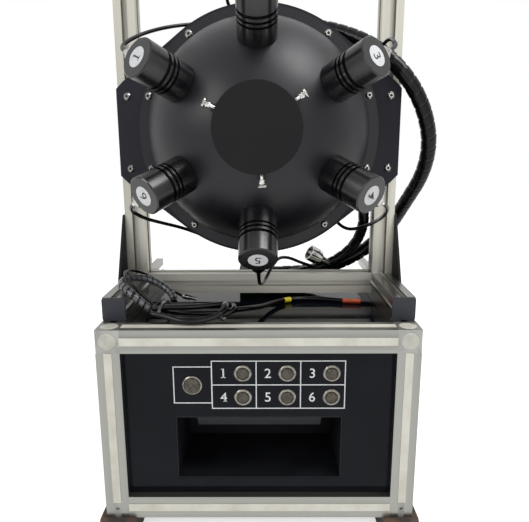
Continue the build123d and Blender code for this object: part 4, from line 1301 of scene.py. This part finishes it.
@dataclass
class Studio:
    """White floor and world, soft lights, and the camera at the photograph's angle.

    Attributes:
        camera_at: The camera's place.
        pitch, yaw, roll: Its angles in degrees: down, to the right, and round its axis.
        lens: Focal length in mm on a sensor 36 mm wide.
        sensor: That width.
        floor_size: Side of the floor.
        paper, paper_lift: How white the floor is, and how much it glows where it is seen.
        ambient: How bright the world lights matt surfaces.
        aim: What every light looks at.
        lights: Each light's name, place, side and power in watts.
    """

    camera_at: Vector = field(default_factory=lambda: Vector((0.01046, -0.76829, 0.49245)))
    pitch: float = 11.8662
    yaw: float = -0.2463
    roll: float = -0.1955
    lens: float = 35.64
    sensor: float = 36
    floor_size: float = 12.0
    paper: float = 0.88
    paper_lift: float = 0.6
    ambient: float = 0.5
    aim: Point = (0, 0, 0.45)
    lights: tuple[tuple[str, Point, float, float], ...] = (
        ("ceiling_light", (0.75, -0.35, 1.75), 0.8, 19),
        ("window_light", (-1.3, -1.0, 1.3), 0.9, 11),
        ("fill_light", (0.5, -2.0, 0.9), 1.4, 6),
    )

    def add_camera(self) -> None:
        """Adds the camera and makes it the scene's own."""
        pitch, yaw, roll = (radians(a) for a in (self.pitch, self.yaw, self.roll))
        forward = Vector((sin(yaw) * cos(pitch), cos(yaw) * cos(pitch), -sin(pitch)))
        level = Vector((cos(yaw), -sin(yaw), 0))
        up = level.cross(forward)
        right = level * cos(roll) + up * sin(roll)
        top = up * cos(roll) - level * sin(roll)
        view = bpy.data.cameras.new("camera")
        view.lens = self.lens
        view.sensor_width = self.sensor
        view.clip_start = 0.01
        camera = bpy.data.objects.new("camera", view)
        turn = Matrix((right, top, -forward)).transposed().to_4x4()
        camera.matrix_world = Matrix.Translation(self.camera_at) @ turn
        bpy.context.scene.collection.objects.link(camera)
        bpy.context.scene.camera = camera

    def seen(self, tree: bpy.types.NodeTree) -> bpy.types.NodeSocket:
        """One for what the camera, a reflection or a clear body sees, and nought for what light falls on.

        Args:
            tree: The node tree that asks.

        Returns:
            The socket with that one or nought.
        """
        path = add_node(tree, "ShaderNodeLightPath").outputs
        two = {0: path["Is Camera Ray"], 1: path["Is Glossy Ray"]}
        first = add_node(tree, "ShaderNodeMath", {"operation": "ADD"}, two).outputs[0]
        all_three = {0: first, 1: path["Is Transmission Ray"]}
        return add_node(tree, "ShaderNodeMath", {"operation": "ADD", "use_clamp": True}, all_three).outputs[0]

    def add_world(self) -> None:
        """A white world: full white where it is seen, gentler where it only lights."""
        world = bpy.data.worlds.new("white_room")
        bpy.context.scene.world = world
        world.use_nodes = True
        tree = world.node_tree
        tree.nodes.clear()
        share = {"Value": self.seen(tree), "To Min": self.ambient, "To Max": 1.0}
        strength = add_node(tree, "ShaderNodeMapRange", None, share).outputs["Result"]
        glow = add_node(tree, "ShaderNodeBackground", inputs={"Color": (1, 1, 1, 1), "Strength": strength})
        add_node(tree, "ShaderNodeOutputWorld", inputs={"Surface": glow.outputs[0]})

    def add_floor(self) -> None:
        """A matt white floor that keeps the shadow and still reads as white."""
        deselect()
        bpy.ops.mesh.primitive_plane_add(size=self.floor_size)
        floor = bpy.context.object
        floor.name = "floor"
        paper = bpy.data.materials.new("white_paper_sweep")
        paper.use_nodes = True
        tree = paper.node_tree
        tree.nodes.clear()
        share = {0: self.seen(tree), 1: self.paper_lift}
        lift = add_node(tree, "ShaderNodeMath", {"operation": "MULTIPLY"}, share).outputs[0]
        white = (self.paper, self.paper, self.paper, 1)
        matt = add_node(tree, "ShaderNodeBsdfDiffuse", inputs={"Color": white})
        glow = add_node(tree, "ShaderNodeEmission", inputs={"Color": (1, 1, 1, 1), "Strength": lift})
        both = add_node(tree, "ShaderNodeAddShader", inputs={0: matt.outputs[0], 1: glow.outputs[0]})
        add_node(tree, "ShaderNodeOutputMaterial", inputs={"Surface": both.outputs[0]})
        floor.data.materials.append(paper)

    def add_light(self, name: str, place: Point, size: float, power: float) -> None:
        """Adds a square soft light.

        Args:
            name: The light's name.
            place: Where it hangs.
            size: Its side.
            power: Its power in watts.
        """
        lamp = bpy.data.lights.new(name, "AREA")
        lamp.size = size
        lamp.energy = power
        light = bpy.data.objects.new(name, lamp)
        turn = (Vector(self.aim) - Vector(place)).to_track_quat("-Z", "Y").to_matrix().to_4x4()
        light.matrix_world = Matrix.Translation(Vector(place)) @ turn
        bpy.context.scene.collection.objects.link(light)

    def build(self) -> None:
        """Sets up the whole studio."""
        bpy.context.scene.view_settings.view_transform = "Standard"
        self.add_camera()
        self.add_world()
        self.add_floor()
        for light in self.lights:
            self.add_light(*light)


def dress_nodes() -> None:
    """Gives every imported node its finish, and reports any that has none."""
    dressed = set()
    for finish, names in NODE_FINISHES.items():
        for name in names:
            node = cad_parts[name]
            if not node.material_slots:
                node.data.materials.append(None)
            for place in node.material_slots:
                place.material = finish.material()
            dressed.add(name)
            log.info("node %s is %s", name, finish.name)
    for name in sorted(set(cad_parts) - dressed):
        log.info("node %s is stood for by a new piece", name)


def save_sizes() -> None:
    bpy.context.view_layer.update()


def main() -> None:
    """Builds the studio, dresses the nodes and adds the new pieces."""
    Studio().build()
    dress_nodes()
    lamps = LampRing()
    Harness(lamps).build()
    DeckLeads().build()
    Cabinet().build()
    lamps.build()
    PortScrews().build()
    ScrewSockets().build()
    save_sizes()


if __name__ == "__main__":
    main()
